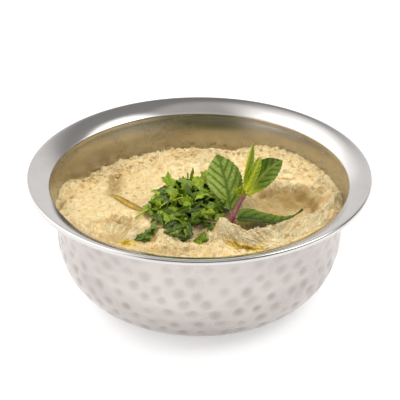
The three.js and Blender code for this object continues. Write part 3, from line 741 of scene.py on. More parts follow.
def relief(x, y):
    """Crumb, pits and strands on the paste, in millimetres."""
    bend_x, bend_y = x + 1.2 * noise(x / 5, y / 5, 31), y + 1.2 * noise(x / 5, y / 5, 32)
    crumb = 0.5 * fractal(bend_x / 2.7, bend_y / 2.7, 3, seed=11)
    edges = 0.6 * (0.35 - np.abs(noise(bend_x / 1.9, bend_y / 1.9, 21)))
    hollow = mound_share(x, y, (38, -1), (17, 13), 0, 2)
    swell = 0.4 * fractal(x / 8, y / 8, 2, seed=15) * (1 - 0.8 * hollow)
    drawn = fibre_run(x, y)[0]
    height = coarseness(x, y) * (1 - 0.75 * drawn) * (crumb + edges) + swell
    ragged = 1 + (0.5 - 0.35 * hollow) * noise(x / 2.4, y / 2.4, 25)
    for way, half, rise in CREASES:
        height = height + rise * ragged * ridge_share(bend_x, bend_y, way, half)
    for at, half, patch_turn, strand_turn, rise, apart, long in STRANDS:
        along, across = turned(x, y, strand_turn)
        lines = noise((across + 1.5 * noise(x / 7, y / 7, 41)) / apart, along / long, 51)
        share = mound_share(x, y, at, half, patch_turn, 1.3)
        height = height + 1.3 * rise * share * (0.5 - 1.7 * np.abs(lines))
    return height


def fibre_run(x, y):
    """Where the paste is drawn out, and places along and across its strands in millimetres."""
    most, along, across = np.zeros_like(x), np.array(x), np.array(y)
    wander = 1.2 * noise(x / 6, y / 6, 41)
    for at, half, patch_turn, strand_turn, rise, _, _ in STRANDS:
        share = mound_share(x, y, at, half, patch_turn, 1.3) * min(1, rise / 0.7)
        here_along, here_across = turned(x, y, strand_turn)
        along = np.where(share > most, here_along, along)
        across = np.where(share > most, here_across + wander, across)
        most = np.maximum(share, most)
    return most, along, across


def pits_and_crumbs(x, y, z):
    """The surface's heights z with small pits and humps pressed in all over."""
    random = np.random.default_rng(5)
    for _ in range(PITS_AND_HUMPS):
        reach = 61 * math.sqrt(random.random())
        turn = random.uniform(0, 2 * math.pi)
        px, py = reach * math.cos(turn), reach * math.sin(turn)
        size = random.uniform(0.45, 1.25)
        rise = random.choice([-1.0, 1.0]) * random.uniform(0.2, 0.8)
        near = (np.abs(x - px) < 3 * size) & (np.abs(y - py) < 3 * size)
        away = ((x[near] - px) ** 2 + (y[near] - py) ** 2) / size**2
        z[near] += rise * np.exp(-away)
    return z


def dip_height(x, y):
    """The dressed surface: the solid's form with its relief, calmer under oil, and the streak's channel."""
    x, y = np.asarray(x, dtype=float), np.asarray(y, dtype=float)
    calm = np.ones_like(x)
    for pool in OIL_POOLS.values():
        still = pool.get("calm", 0.5)
        calm = calm * (1 - still * mound_share(x, y, pool["at"], pool["half"], pool["turn"], 2))
    away, along = way_distance(x, y, OIL_STREAK["way"])
    across = away / streak_half_width(along)
    calm = calm * (0.25 + 0.75 * smooth_step(across, 0.8, 2.2))
    z = plain_dip_height(x, y) + relief(x, y) * calm
    bank = OIL_STREAK["level"] + 0.3
    bed = np.minimum(OIL_STREAK["level"] - OIL_STREAK["depth"] * (1 - across**2), bank)
    share = 1 - smooth_step(across, 1.1, 2.4)
    return bed * share + z * (1 - share)


def ground(x, y):
    """The dressed surface's height at one place."""
    return float(dip_height([x], [y])[0])


def disc_grid(cells):
    """A square grid spread over the unit disc, with x and y of each point."""
    b, a = np.meshgrid(*[np.linspace(-1, 1, cells + 1)] * 2, indexing="ij")
    wide = np.abs(a) > np.abs(b)
    safe_a, safe_b = np.where(a == 0, 1e-9, a), np.where(b == 0, 1e-9, b)
    reach = np.where(wide, a, b)
    turn = np.where(wide, np.pi / 4 * b / safe_a, np.pi / 2 - np.pi / 4 * a / safe_b)
    return reach * np.cos(turn), reach * np.sin(turn)


def make_dip(material):
    cells = 316
    x, y = disc_grid(cells)
    edge = float(inner_radius(DIP_LEVEL)) + INTO_WALL
    x, y = x * edge, y * edge
    z = pits_and_crumbs(x, y, dip_height(x, y))
    outer = smooth_step(np.hypot(x, y), edge - 6, edge)
    grow = 1 + outer * ((inner_radius(z) + INTO_WALL) / edge - 1)
    rows = cells + 1
    top = np.stack([x * grow, y * grow, z], axis=2).reshape(-1, 3)
    around = border_of(rows, rows)
    outward = unit(top[around, :2])
    points, faces, previous = [top], grid_faces(rows, rows).tolist(), around
    under_edge = np.maximum(top[around, 2] - 1.2, SIDE_HEIGHTS[0] + 0.4)
    for i, height in enumerate((under_edge, *SIDE_HEIGHTS)):
        heights = np.broadcast_to(height, len(around))
        points.append(np.column_stack([outward * (inner_radius(heights) - SIDE_INSET)[:, None], heights]))
        ring = len(top) + np.arange(len(around)) + i * len(around)
        faces += np.stack([np.roll(previous, -1), previous, ring, np.roll(ring, -1)], axis=1).tolist()
        previous = ring
    faces.append(previous[::-1].tolist())
    points = np.concatenate(points)
    make_piece("dip_paste", (points, faces, dip_values(*points.T)), [material], "dip")


# Oil-soaked places, with painted shade added in the right hollow and under the trailing leaf, and roasted
# places, with painted shade on the right crest's shaded slope and in the front hollow: middle, half-lengths,
# turn, strength.
OIL_AND_SHADE_PLACES = [
    # the right hollow: oil stain deepened with painted shade
    ((37, -1), (17, 12), 0, 0.72),
    ((-44, -4), (16, 20), 0, 0.22),
    ((-27, 12), (12, 17), 0, 0.24),
    # under the trailing leaf: oil stain and the leaf's painted shadow
    ((22, -15), (14, 8), 6, 0.8),
    ((18, -35), (12, 4), -24, 1.0),
    ((-31, -34), (9, 4), 0, 0.8),
    ((-12, -42), (16, 4), 0, 0.6),
    ((-39, 22), (2.5, 15), 0, 0.55),
    ((-22, -29), (6, 5), 0, 0.5),
    ((-31, -1), (11, 2.6), -45, 0.8),
    # the hollow's steep back wall and middle: painted shade with some oil
    ((45, 6), (12, 5), -18, 0.45),
    ((33, 5), (7, 6), 0, 0.3),
    ((-35.8, 20), (2.6, 13), 0, 0.5),
    ((2, 42), (16, 6), 0, 0.25),
]
ROAST_AND_SHADE_PLACES = [
    # the right crest's slope that faces away from the light: brown and painted shade
    ((56, -3), (7, 6), 40, 0.5),
    ((-36.6, 20), (2.2, 13), 0, 0.35),
    # the front hollow: painted shadow of the parsley
    ((0, -33), (6, 4), 0, 0.5),
    ((-30, 34), (9, 5), 10, 0.25),
    ((-21, -24), (6, 3), 0, 0.35),
]


def dip_values(x, y, z):
    """How oil-stained, roasted, drawn out and coarse the paste is at points, with painted shade in its
    sunken creases and added to some oil and roast places.
    """
    oily = mound_sum(x, y, OIL_AND_SHADE_PLACES) * (0.9 + 0.25 * noise(x / 6, y / 6, 61))
    roast = mound_sum(x, y, ROAST_AND_SHADE_PLACES) * (0.8 + 0.8 * noise(x / 3, y / 3, 62))
    roast = roast + 0.35 * np.clip(noise(x / 4, y / 4, 63) - 0.3, 0, 1)
    drawn, along, across = fibre_run(x, y)
    return {
        "oily": np.clip(oily, 0, 1),
        "roast": np.clip(roast, 0, 1),
        # painted shade: darker where the surface sinks below the solid's plain form
        "cavity": np.clip((plain_dip_height(x, y) - z) * 0.9 - 0.15, 0, 1),
        "drawn": drawn,
        "along": along,
        "across": across,
        "coarse": np.clip(0.35 + 0.65 * coarseness(x, y), 0.3, 1.1),
        "fibre": 0.0,
    }


def patch_solid(x, y, top, bottom, allowed):
    """A closed solid over a grid, where top lies above bottom and the point is allowed."""
    keep = (top > bottom) & allowed
    cell = keep[:-1, :-1] & keep[1:, :-1] & keep[:-1, 1:] & keep[1:, 1:]
    quads = grid_faces(*x.shape)[cell.ravel()]
    sides = [(a, b) for quad in quads.tolist() for a, b in zip(quad, quad[1:] + quad[:1])]
    inner = set(sides)
    faces = quads.tolist() + (quads[:, ::-1] + x.size).tolist()
    faces += [[b, a, a + x.size, b + x.size] for a, b in sides if (b, a) not in inner]
    points = np.concatenate([np.stack([x, y, level], axis=2).reshape(-1, 3) for level in (top, bottom)])
    used, renumbered = np.unique(np.array(faces), return_inverse=True)
    return points[used], renumbered.reshape(-1, 4), used % x.size


def oil_piece(node, grid, level, brim, margin, tone, material, flip=False):
    """Oil up to its level over a grid, drawn up at its edge by brim, a height and a reach."""
    x, y = grid
    bed = dip_height(x, y)
    depth = level - bed
    top = level + brim[0] * np.exp(-np.clip(depth, 0, 3) / brim[1])
    bottom = np.minimum(bed, top) - OIL_INTO_PASTE
    points, faces, used = patch_solid(x, y, top, bottom, depth > -margin)
    if flip:
        faces = faces[:, ::-1]
    values = {"depth": np.clip(tone(depth).ravel()[used], 0, 1)}
    make_piece(node + "_pool", (points, faces, values), [material], node)


def make_oil(material, shaded):
    """The pools lie level and end where the paste comes up through them."""
    searched = 1.25  # a pool's grid reaches this much further than its half-lengths
    for node, pool in OIL_POOLS.items():
        u, v = disc_grid(90)
        u, v = turned(u * pool["half"][0] * searched, v * pool["half"][1] * searched, -pool["turn"])
        x, y = pool["at"][0] + u, pool["at"][1] + v
        # shade is painted shade: the pool under the leaf is darker and takes the oil's shaded copy
        shade = pool.get("shade", 0.0)
        shade_and_swirl = shade + 0.25 * noise(x, y, 73)
        skin = shaded if shade else material
        oil_piece(node, (x, y), pool["level"], (0.12, 0.25), 0.25, lambda depth: shade_and_swirl + depth / 2.6, skin)
    steps = 80
    way = curve_through([(*p, 0) for p in OIL_STREAK["way"]], steps)
    ahead = headings(way)
    across = np.linspace(-1.15, 1.15, 15)
    away = across * streak_half_width(np.linspace(0, 1, steps))[:, None]
    x, y = way[:, :1] - ahead[:, 1:2] * away, way[:, 1:2] + ahead[:, :1] * away
    banded = 0.2 + 0.55 * np.abs(across) ** 1.5 - 0.12 * across + 0.15 * noise(x, y, 71)
    level = OIL_STREAK["level"]
    oil_piece("oil_left_streak", (x, y), level, (0.1, 0.2), 0.3, lambda depth: banded, material, flip=True)


# ---- strands and crumbs of paste


# Where fibres stand out: way along the crest, how many, spread, heading in degrees, length, how high.
FIBRE_CRESTS = [
    ([(60, 2), (57, -5), (50, -11.5), (41, -19)], 200, 2.0, 60, 3.6, 0.7),
    ([(41, -18), (34, -24), (29, -27), (22, -27)], 240, 2.2, 76, 3.4, 0.9),
    ([(52, -14), (43, -24), (33, -32)], 260, 5.0, 58, 4.4, 0.3),
    ([(27, -28), (19, -30), (10, -24)], 150, 3.4, -36, 4.4, 0.5),
    ([(10.5, -21.5), (8, -27), (4, -32)], 70, 2.4, 250, 3.0, 0.5),
    ([(10.5, -21.5), (15, -29), (19, -35)], 130, 3.4, -50, 4.6, 0.35),
    ([(20, -33), (27, -37), (34, -38)], 90, 3.4, -20, 4.4, 0.35),
    ([(52, 19), (57, 12), (59, 6)], 80, 1.6, 80, 2.4, 1.1),
    ([(30, 13.5), (40, 13), (50, 10), (56, 7)], 70, 1.6, 95, 2.0, 0.8),
    ([(-58, -14), (-50, -28), (-36, -26), (-26, -24)], 90, 4.0, 70, 1.8, 0.6),
    ([(-15, -28), (-12, -40), (4, -42)], 60, 3.0, 90, 1.8, 0.7),
    ([(-40, 38), (-20, 46), (0, 50), (20, 48), (38, 41)], 170, 3.0, 90, 1.8, 0.9),
]
PLAIN_PASTE = {"cavity": 0.0, "drawn": 0.0, "along": 0.0, "across": 0.0, "coarse": 1.0, "fibre": 0.0}


def make_fibres(material):
    """Aubergine fibres that stand out of the paste along its crests."""
    random = np.random.default_rng(23)
    steps = np.linspace(0, 1, 5)
    parts = []
    for way, count, spread, heading, length, high in FIBRE_CRESTS:
        line = curve_through([(*p, 0) for p in way], 60)
        for _ in range(count):
            root = line[random.integers(len(line)), :2] + random.normal(0, spread / 2, 2)
            if np.hypot(*root) > CRUMB_REACH:
                continue
            turn = math.radians(heading + random.normal(0, 28))
            long = length * random.uniform(0.5, 1.2)
            flat = root + np.outer(steps * long, [math.cos(turn), math.sin(turn)])
            stand = high * random.uniform(0.2, 1.0) * long * 0.45
            lift = stand * np.sin(steps * random.uniform(1.2, 2.7))
            path = np.column_stack([flat, dip_height(*flat.T) + lift - 0.12])
            radii = random.uniform(0.11, 0.27) * np.array([1.1, 1.0, 0.9, 0.7, 0.25])
            values = {**PLAIN_PASTE, "oily": 0.05, "roast": max(0, random.normal(0, 0.12))}
            parts.append((*tube(path, radii, 4), {**values, "fibre": random.uniform(0.2, 1.0)}))
    make_piece("dip_fibres", join_parts(parts), [material])


def make_crumbs(material):
    """Crumbs of paste that lie on the surface."""
    random = np.random.default_rng(29)
    latitude = np.linspace(0.25, math.pi - 0.25, 5)
    longitude = np.arange(6) * 2 * math.pi / 6
    ball = [np.outer(np.sin(latitude), each(longitude)) for each in (np.cos, np.sin)]
    ball = np.stack([*ball, np.outer(np.cos(latitude), np.ones(6))], axis=2).reshape(-1, 3)
    faces = [face[:1] + face[:0:-1] for face in closed_rings(5, 6)]
    parts = []
    back_crumbs, all_crumbs = 190, 640
    for i in range(all_crumbs):
        if i < back_crumbs:
            reach, turn = random.uniform(44, 58), math.radians(random.uniform(25, 160))
            size = random.uniform(0.4, 1.1)
        else:
            reach, turn = CRUMB_REACH * math.sqrt(random.random()), random.uniform(0, 2 * math.pi)
            size = random.uniform(0.22, 0.7)
        x, y = reach * math.cos(turn), reach * math.sin(turn)
        if any(math.hypot((x - at[0]) / half[0], (y - at[1]) / half[1]) < 1 for at, half in BARE_PLACES):
            continue
        crumb = ball * random.uniform(0.7, 1.3, (len(ball), 1)) * size * [1.0, 1.0, 0.75]
        values = {**PLAIN_PASTE, "oily": 0.1, "roast": max(0.0, random.normal(0.0, 0.2))}
        parts.append((crumb + [x, y, ground(x, y) + size * 0.2], faces, values))
    make_piece("dip_crumbs", join_parts(parts), [material])


# ---- leaves


def leaf(
    across, along, spine, side, width, fold=0, wave=0, waves=2, widest=0.42, taper=0.75, teeth=0, tooth=0,
    vein_step=4.2, vein_slope=1, pads=0.35, pale_base=0, pale_edge=0, pale_rib=0, tint=0.3, shade_slant=0,
):
    """A fine leaf in the form of its solid: midrib, side veins, pads between them and a toothed edge."""
    narrowest, thickness = 0.12, 0.42
    spine = curve_through(spine, along + 1)
    length = np.sum(np.linalg.norm(np.diff(spine, axis=0), axis=1))
    ahead = headings(spine)
    t = np.linspace(0, 1, along + 1)[:, None]
    s = np.linspace(-1, 1, across + 1)[None, :]
    left = np.array(side[0]) * (1 - t) + np.array(side[-1]) * t
    left = unit(left - ahead * np.sum(left * ahead, axis=1, keepdims=True))[:, None]
    up = np.cross(left, ahead[:, None])
    power = taper * widest / (1 - widest)
    fullest = widest**power * (1 - widest) ** taper
    half = np.maximum(narrowest, width / 2 * t**power * (1 - t) ** taper / fullest)
    saw = (t * teeth + 0.13 * np.sign(s)) % 1.0
    toothed = 1 + tooth * (0.5 - saw) * (np.abs(s) > 0.82)
    reach = np.abs(s) * half
    vein_phase = (t * length - vein_slope * reach - 0.06 * reach**2) / vein_step + 0.22 * np.sign(s)
    to_vein = np.abs((vein_phase + 0.5) % 1.0 - 0.5) * vein_step
    side_vein = np.exp(-((to_vein / 0.3) ** 2)) * smooth_step(1 - np.abs(s), 0.05, 0.3)
    midrib = np.exp(-((reach / (0.4 - 0.25 * t)) ** 2))
    pad = pads * np.clip(to_vein / 0.9, 0, 1) ** 0.6
    pad = pad * smooth_step(reach, 0.2, 1.0) * smooth_step(half, 0.8, 2.5)
    lift = fold * reach + wave * s * s * np.sin(waves * 2 * np.pi * t + 1.2 * s) + pad - 0.12 * midrib
    lift = lift + 0.05 * noise(t * length * 0.9, s * half * 0.9, 81)
    middle = spine[:, None] - left * (s * half * toothed)[:, :, None] + up * lift[:, :, None]
    thin = thickness / 2 * (0.35 + 0.65 * (1 - np.abs(s) ** 4))[:, :, None]
    points, faces = two_sided(middle + up * thin, middle - up * thin)
    pale = pale_base * smooth_step(0.35 - t, 0, 0.35) + pale_edge * np.clip(-s, 0, 1) ** 1.5
    pale = pale + pale_rib * np.exp(-((reach / (0.8 - 0.5 * t)) ** 2))
    # painted highlight on the raised pads and painted shade on one half of the leaf by its slant
    tint = tint + 0.3 * np.clip(to_vein / 1.8, 0, 1) * smooth_step(reach, 0.2, 1.2) + shade_slant * s
    tint = tint + 0.12 * noise(t * length / 2, s * 3, 83)
    values = {"vein": np.maximum(side_vein * 0.8, midrib) * (t < 0.97), "pale": pale, "tint": tint}
    return points, faces, {key: np.tile(np.clip(each, 0, 1).ravel(), 2) for key, each in values.items()}


MINT = {
    "mint_broad_leaf": dict(
        spine=[(13.3, -15, 45.4), (12.9, -10.6, 46.8), (11.6, -3, 51.8), (8.2, 8.9, 60)],
        side=[(-0.97, 0.15, 0.12)],
        width=15.4, fold=0.12, wave=0.4, waves=2, widest=0.56, taper=0.75,
        teeth=17, tooth=0.08, vein_step=5.2, vein_slope=1.3, pads=0.7, tint=0.66, shade_slant=-0.12,
    ),
    # Its low tint is painted shade: the leaf lies in the shade of those above.
    "mint_trailing_leaf": dict(
        spine=[
            (16.2, -19, 43.8), (22, -17.8, 43.1), (28, -17, 41.2),
            (34, -16.8, 40.5), (39.5, -14.8, 41.7), (44.8, -12, 44.2),
        ],
        side=[(0.1, 1, 0.1), (0.1, 0.95, -0.25)],
        width=10.6, fold=-0.42, wave=0.6, waves=1.5, widest=0.26, taper=1.25,
        teeth=13, tooth=0.08, vein_step=4.4, pads=0.3, tint=0.0, shade_slant=-0.25, pale_edge=0.12,
    ),
    "mint_folded_leaf": dict(
        spine=[(20.6, -9.6, 49.9), (24.4, -5, 53.2), (29.4, 0.6, 56.4), (36, 7, 58.2)],
        side=[(-0.45, 0.55, 0.65)],
        width=10.4, fold=-0.35, wave=0.5, waves=1.5, widest=0.5, taper=0.8,
        teeth=13, tooth=0.08, vein_step=4.2, pads=0.25, pale_base=0.8, pale_rib=0.4,
        tint=0.3, shade_slant=0.2,
    ),
    "mint_tall_shoot": dict(
        spine=[(20, -7.4, 50.8), (20.9, -2.6, 55.2), (22.2, 3, 60.8), (23.4, 8.2, 66)],
        side=[(-0.95, 0.1, 0.2), (-0.6, 0.1, 0.5)],
        width=3.6, fold=-0.5, widest=0.36, vein_step=2.6, pads=0.2,
        teeth=9, tooth=0.16, pale_base=0.5, pale_edge=0.9, tint=0.5, shade_slant=-0.35,
    ),
    "mint_short_shoot": dict(
        spine=[(19.7, -10.2, 52), (22.2, -7.4, 56.4), (24.6, -3.6, 60.2), (26.3, 0.4, 63.4)],
        side=[(-0.8, 0.3, 0.4)],
        width=4.6, fold=-0.4, wave=0.3, widest=0.45, vein_step=2.2, pads=0.3,
        teeth=9, tooth=0.12, pale_base=0.5, pale_rib=0.7, tint=0.4,
    ),
    "mint_bud": dict(
        spine=[(18.3, -11.6, 50.9), (17.8, -11.4, 52.8), (18, -11, 54.8)],
        side=[(-0.9, -0.3, 0.1)],
        width=4, fold=0.4, widest=0.45, vein_step=1.6, pads=0.2,
        teeth=5, tooth=0.12, pale_base=0.4, tint=0.6,
    ),
}
LOWER_NODE, UPPER_NODE, STEM_FOOT = (14.1, -19.3, 44), (19, -9.2, 49.5), (13.2, -21, 40.6)
STEM_RADIUS = 1.0
# Short stalks of the leaves: start, end, radius, how pale.
LEAF_STALKS = [
    (LOWER_NODE, (13.3, -14.6, 45.4), 0.6, 0.4),
    (LOWER_NODE, (16.6, -18.9, 43.8), 0.6, 0.5),
    (UPPER_NODE, (20.9, -9.2, 50.1), 0.55, 1.0),
    (UPPER_NODE, (20.1, -7.0, 51.1), 0.5, 1.0),
    (UPPER_NODE, (19.8, -10.0, 52.3), 0.5, 1.0),
    (UPPER_NODE, (18.3, -11.5, 51.2), 0.45, 1.0),
]


def make_mint(full_leaf, young_leaf, stem_skin):
    for node, shape in MINT.items():
        if node.endswith("leaf"):
            make_piece(node + "_fine", leaf(44, 120, **shape), [full_leaf], node)
        else:
            make_piece(node + "_fine", leaf(20, 60, **shape), [young_leaf], node)
    share = np.linspace(0, 1, 40)
    swell = 0.35 * np.exp(-(((share - 0.27) / 0.06) ** 2)) + 0.3 * np.exp(-(((share - 0.97) / 0.06) ** 2))
    radii = STEM_RADIUS * (1 + swell) * (1.02 - 0.08 * share)
    stem = tube(curve_through([STEM_FOOT, LOWER_NODE, UPPER_NODE], 40), radii, 16, 0.07)
    stems = [(*stem, {"pale": np.repeat(smooth_step(share, 0.88, 1.0), 16)})]
    for start, end, radius, pale in LEAF_STALKS:
        middle = (np.array(start) + np.array(end)) / 2 + [0, 0, 0.15]
        path = curve_through([start, middle, end], 10)
        stems.append((*tube(path, np.linspace(radius * 1.1, radius * 0.6, 10), 10), {"pale": pale}))
    make_piece("mint_stem_fine", join_parts(stems), [stem_skin], "mint_stem")


# ---- parsley

# The heap and its lobe in front, as the upper halves of ellipsoids: centre and half-lengths.
HEAP = (np.array([-4.8, -7.0, 41.2]), np.array([17, 19, 8]))
LOBE = (np.array([-9.5, -27, 41]), np.array([5.2, 6.5, 3.6]))


def heap_height(x, y, heap_shrink=1.0, lobe_shrink=1.0):
    """Height of the heap's top, or far below it where there is no heap."""
    height = np.full(np.shape(x), -10.0)
    for (centre, half), shrink in ((HEAP, heap_shrink), (LOBE, lobe_shrink)):
        share = ((x - centre[0]) / (half[0] * shrink)) ** 2 + ((y - centre[1]) / (half[1] * shrink)) ** 2
        top = centre[2] + half[2] * shrink * np.sqrt(np.clip(1 - share, 0, 1))
        height = np.maximum(height, np.where(share < 1, top, -10))
    return height


def parsley_piece(random, spine, side, width, tint, lobes, fold=None, ribbed=0.8):
    """A cut piece of leaf along a spine: pointed lobes that sweep forward, creased and rippled."""
    rows, columns, thick = 15, 9, 0.11
    line = curve_through(spine, rows)
    ahead = headings(line)
    side = np.array(side, dtype=float)
    left = unit(side - ahead * (ahead @ side)[:, None])
    up = np.cross(ahead, left)[:, None]
    length = np.sum(np.linalg.norm(np.diff(line, axis=0), axis=1))
    t = np.linspace(0, 1, rows)[:, None]
    s = np.linspace(-1, 1, columns)[None, :]
    outline = (0.1 + 0.9 * np.sin(np.pi * t ** random.uniform(0.6, 0.95)) ** 0.7) * width / 2
    one_side, other_side = random.uniform(0, 1, 2)
    saw = (t * lobes + np.where(s < 0, one_side, other_side)) % 1
    jagged = 1 - random.uniform(0.35, 0.65) * saw * np.abs(s) ** 1.5
    across = s * outline * jagged
    swept = np.abs(across) * random.uniform(0.2, 0.6) * (1 - saw * 0.5)
    fold = random.uniform(-0.5, 0.55) if fold is None else fold
    ripple = random.uniform(0.1, 0.3) * np.sin(t * random.uniform(5, 10) + s * 2 + random.uniform(0, 6))
    furrow = np.abs(((t * length - np.abs(across) * 1.1) / 1.9 + 0.5) % 1 - 0.5) * 2
    twist = random.normal(0, 0.3) * (t - 0.5)
    lift = fold * np.abs(across) + ripple * np.abs(s) + twist * across + 0.16 * ribbed * furrow
    lift = (lift - random.uniform(0.0, 0.1) * across**2)[..., None]
    flat = line[:, None] + across[..., None] * left[:, None] + swept[..., None] * ahead[:, None]
    points, faces = two_sided(flat + (lift + thick) * up, flat + (lift - thick) * up)
    vein = 0.6 * np.clip(np.exp(-((across / 0.22) ** 2)) + 0.5 * ribbed * (1 - furrow) ** 3, 0, 1)
    tint = np.clip(tint + 0.12 * (np.abs(s) ** 6 - 0.3), 0, 1) + 0 * t
    tint, vein = (np.tile(each.ravel(), 2) for each in (tint, vein))
    return points, faces, {"tint": tint, "vein": vein, "pale": 0.0}


def heap_shade(x, y, z):
    """0 for points that lie deep in the heap, 1 for those that stand out from it; used to paint shade onto
    the pieces that lie deep.
    """
    return smooth_step(z - np.maximum(heap_height(x, y), dip_height(x, y) + 1), -1.7, 1.0)


def parsley_stalk(way, radius):
    radii = np.full(12, radius) * np.linspace(1, 0.75, 12)
    return *tube(curve_through(way, 12), radii, 7), {"tint": 1.0, "vein": 0.0, "pale": 0.1}


def loose_piece(random, at, normal, length, width, tint, lifted):
    """A piece dropped at random across a normal, with one end that may stand up."""
    normal = unit(normal)
    heading = random.uniform(0, 2 * math.pi)
    ahead = np.array([math.cos(heading), math.sin(heading), 0.0])
    ahead = unit(ahead - normal * ahead.dot(normal))
    bow, stand = random.uniform(-0.12, 0.22) * length, random.uniform(-0.15, lifted) * length * 0.6
    spine = [at - ahead * length / 2, at + normal * bow, at + ahead * length / 2 + normal * stand]
    side = np.cross(normal, ahead) + normal * random.normal(0, 0.35)
    lobes = random.integers(2, 4)
    return parsley_piece(random, spine, side, width, tint, lobes, None, random.random())


# Pieces that stand out from the heap: spine, side, width, tint, lobes, fold. A tint also carries painted
# light: leaves that lie in shade are given a brighter one.
PARSLEY_LEAVES = [
    ([(2.4, 0, 47), (2.8, 5.6, 49.6), (3.8, 10.4, 51.2)], (1, 0, -0.35), 8.4, 1.0, 3, 0.1),
    ([(-11.7, -2, 48), (-13.2, 2, 49.8), (-16.4, 5.4, 50.6)], (0.8, 0.5, 0.1), 5.8, 0.85, 2, -0.15),
    ([(-12.6, 0.4, 48.8), (-13.4, 3.4, 51), (-13.8, 5.6, 53.2)], (1, 0.1, 0.1), 3.4, 0.9, 2, 0.2),
    ([(-3.8, -6, 49), (-6, -1.4, 51), (-8.6, 3.6, 51.2)], (0.9, 0.4, 0.2), 6.4, 0.72, 2, -0.15),
    ([(1.4, -1.9, 48.3), (-0.6, 1.6, 50.2), (-3, 5.2, 50.6)], (0.9, 0.4, 0.2), 5.6, 0.9, 2, -0.15),
    ([(-3.6, 4, 49), (-3.2, 4.6, 52.2), (-2.7, 5, 55.4)], (1, 0, 0), 2.0, 0.9, 1, 0.4),
    ([(-21.4, 6.4, 42.9), (-19, 5.4, 43.6), (-16.6, 3.4, 43.2)], (0.2, 0.6, 0.7), 2.4, 0.95, 2, 0.2),
    ([(-10.6, -14.2, 48), (-10, -19, 47.4), (-9.6, -24.4, 44.6)], (1, 0, -0.1), 8.6, 0.78, 3, -0.25),
    ([(-7.6, -19.5, 46.8), (-6.6, -23, 45.6), (-6.8, -28, 42.9)], (1, -0.1, 0.2), 6.4, 1.0, 2, -0.3),
    ([(-10, -24, 44.2), (-9, -29, 42.4), (-7.9, -35.6, 40.2)], (1, 0.1, 0.1), 8.2, 0.66, 3, -0.3),
    ([(-13.4, -20.4, 43.6), (-14, -24, 42), (-12.6, -29, 40.4)], (0.9, 0.2, 0.5), 5.6, 0.45, 2, -0.2),
    ([(-3.4, -23.6, 44.2), (0.7, -19.8, 47.2), (5.6, -20.8, 43.9)], (0.1, -0.8, -0.6), 3.8, 0.82, 3, 0.1),
    ([(5.4, -3, 47.6), (7.4, 0, 48.6), (9.6, 2.6, 47.4)], (-0.4, 0.6, 0.6), 1.7, 1.0, 2, 0.2),
    ([(6.4, -20.4, 43.4), (8.8, -17.6, 44.6), (10.9, -14.4, 43.5)], (0.3, -0.6, -0.6), 3.0, 0.8, 2, 0.2),
    ([(1.2, -17.8, 47.2), (5, -15.8, 47.8), (9, -13.4, 45.6)], (0.2, -0.7, -0.5), 4.4, 0.72, 2, -0.2),
    ([(-0.8, -11.8, 49), (1.8, -7, 50.4), (4.4, -2.4, 48.6)], (-0.8, 0.3, 0.3), 4.2, 0.78, 3, -0.3),
    ([(-21.4, -8, 43.2), (-18.4, -8.6, 46.8), (-14.6, -8.8, 48.4)], (0.2, -0.7, -0.4), 4.6, 0.7, 3, -0.2),
    ([(-19.6, -3.4, 44.2), (-20.8, -6.8, 44.8), (-22.2, -10.6, 42.6)], (0.7, 0.4, 0.6), 3.6, 0.88, 2, 0.2),
    ([(-16.4, -19.8, 43), (-14, -17.6, 46), (-11.8, -14.2, 47.6)], (-0.5, 0.5, 0.6), 4.4, 0.52, 3, -0.2),
    ([(3.4, -25.4, 41), (5.4, -24, 42.6), (7.6, -21.6, 42.6)], (0.4, -0.6, -0.6), 3.4, 0.45, 2, 0.2),
    ([(-9.4, -10.4, 49.6), (-12.2, -7.2, 50.6), (-15.6, -4.4, 48.6)], (0.5, 0.6, 0.5), 5.0, 0.8, 3, -0.25),
    ([(-5.8, -13.8, 49.2), (-4.6, -16.6, 49.4), (-2.2, -20.6, 46.6)], (0.9, 0.4, 0), 5.2, 0.88, 3, -0.3),
    ([(7.2, -9.6, 46.4), (9.4, -6.4, 47.4), (11.4, -2.2, 45)], (-0.6, 0.5, 0.5), 4.6, 0.62, 3, -0.2),
    ([(-22.6, -10, 42.8), (-20, -14, 44.2), (-18, -18.6, 43)], (0.8, 0.4, 0.4), 5.4, 0.7, 3, -0.2),
    ([(-19, -12, 45.4), (-17.4, -16.6, 45.4), (-15.6, -22.6, 43)], (0.9, 0.3, 0.3), 5.8, 0.45, 3, -0.25),
    ([(-15, -18, 46), (-13.4, -21.6, 45.2), (-12.6, -25.8, 43)], (0.9, 0.2, 0.4), 5.2, 0.85, 3, -0.25),
    ([(-22.4, -5.4, 43.4), (-23.4, -9, 43.2), (-23.6, -13, 42.2)], (0.8, 0.1, 0.5), 3.6, 0.8, 2, 0.2),
    ([(-7.4, -24.6, 45), (-6.8, -28, 43.8), (-8, -33.4, 41.4)], (1, -0.1, 0.2), 5.0, 0.92, 2, -0.3),
]
# Cut stalks: way and radius.
PARSLEY_STALKS = [
    ([(-29.2, -18, 41.9), (-25.4, -13.8, 43), (-21.2, -10.1, 43.8), (-17, -9.6, 45.6)], 0.48),
    ([(-11, -13.4, 49.2), (-8.4, -12.4, 50), (-5.6, -12.6, 50.2)], 0.42),
    ([(0.6, -10.4, 49.8), (3, -9.6, 50.2), (5.6, -10.2, 49)], 0.4),
    ([(-13.4, -12.6, 48.4), (-16, -14.4, 47.4), (-18, -17, 45)], 0.4),
    ([(-1.6, 1.4, 50), (1, 1.6, 50.6), (3.6, 0.4, 49.8)], 0.38),
]
GOLDEN_ANGLE = 2.39996


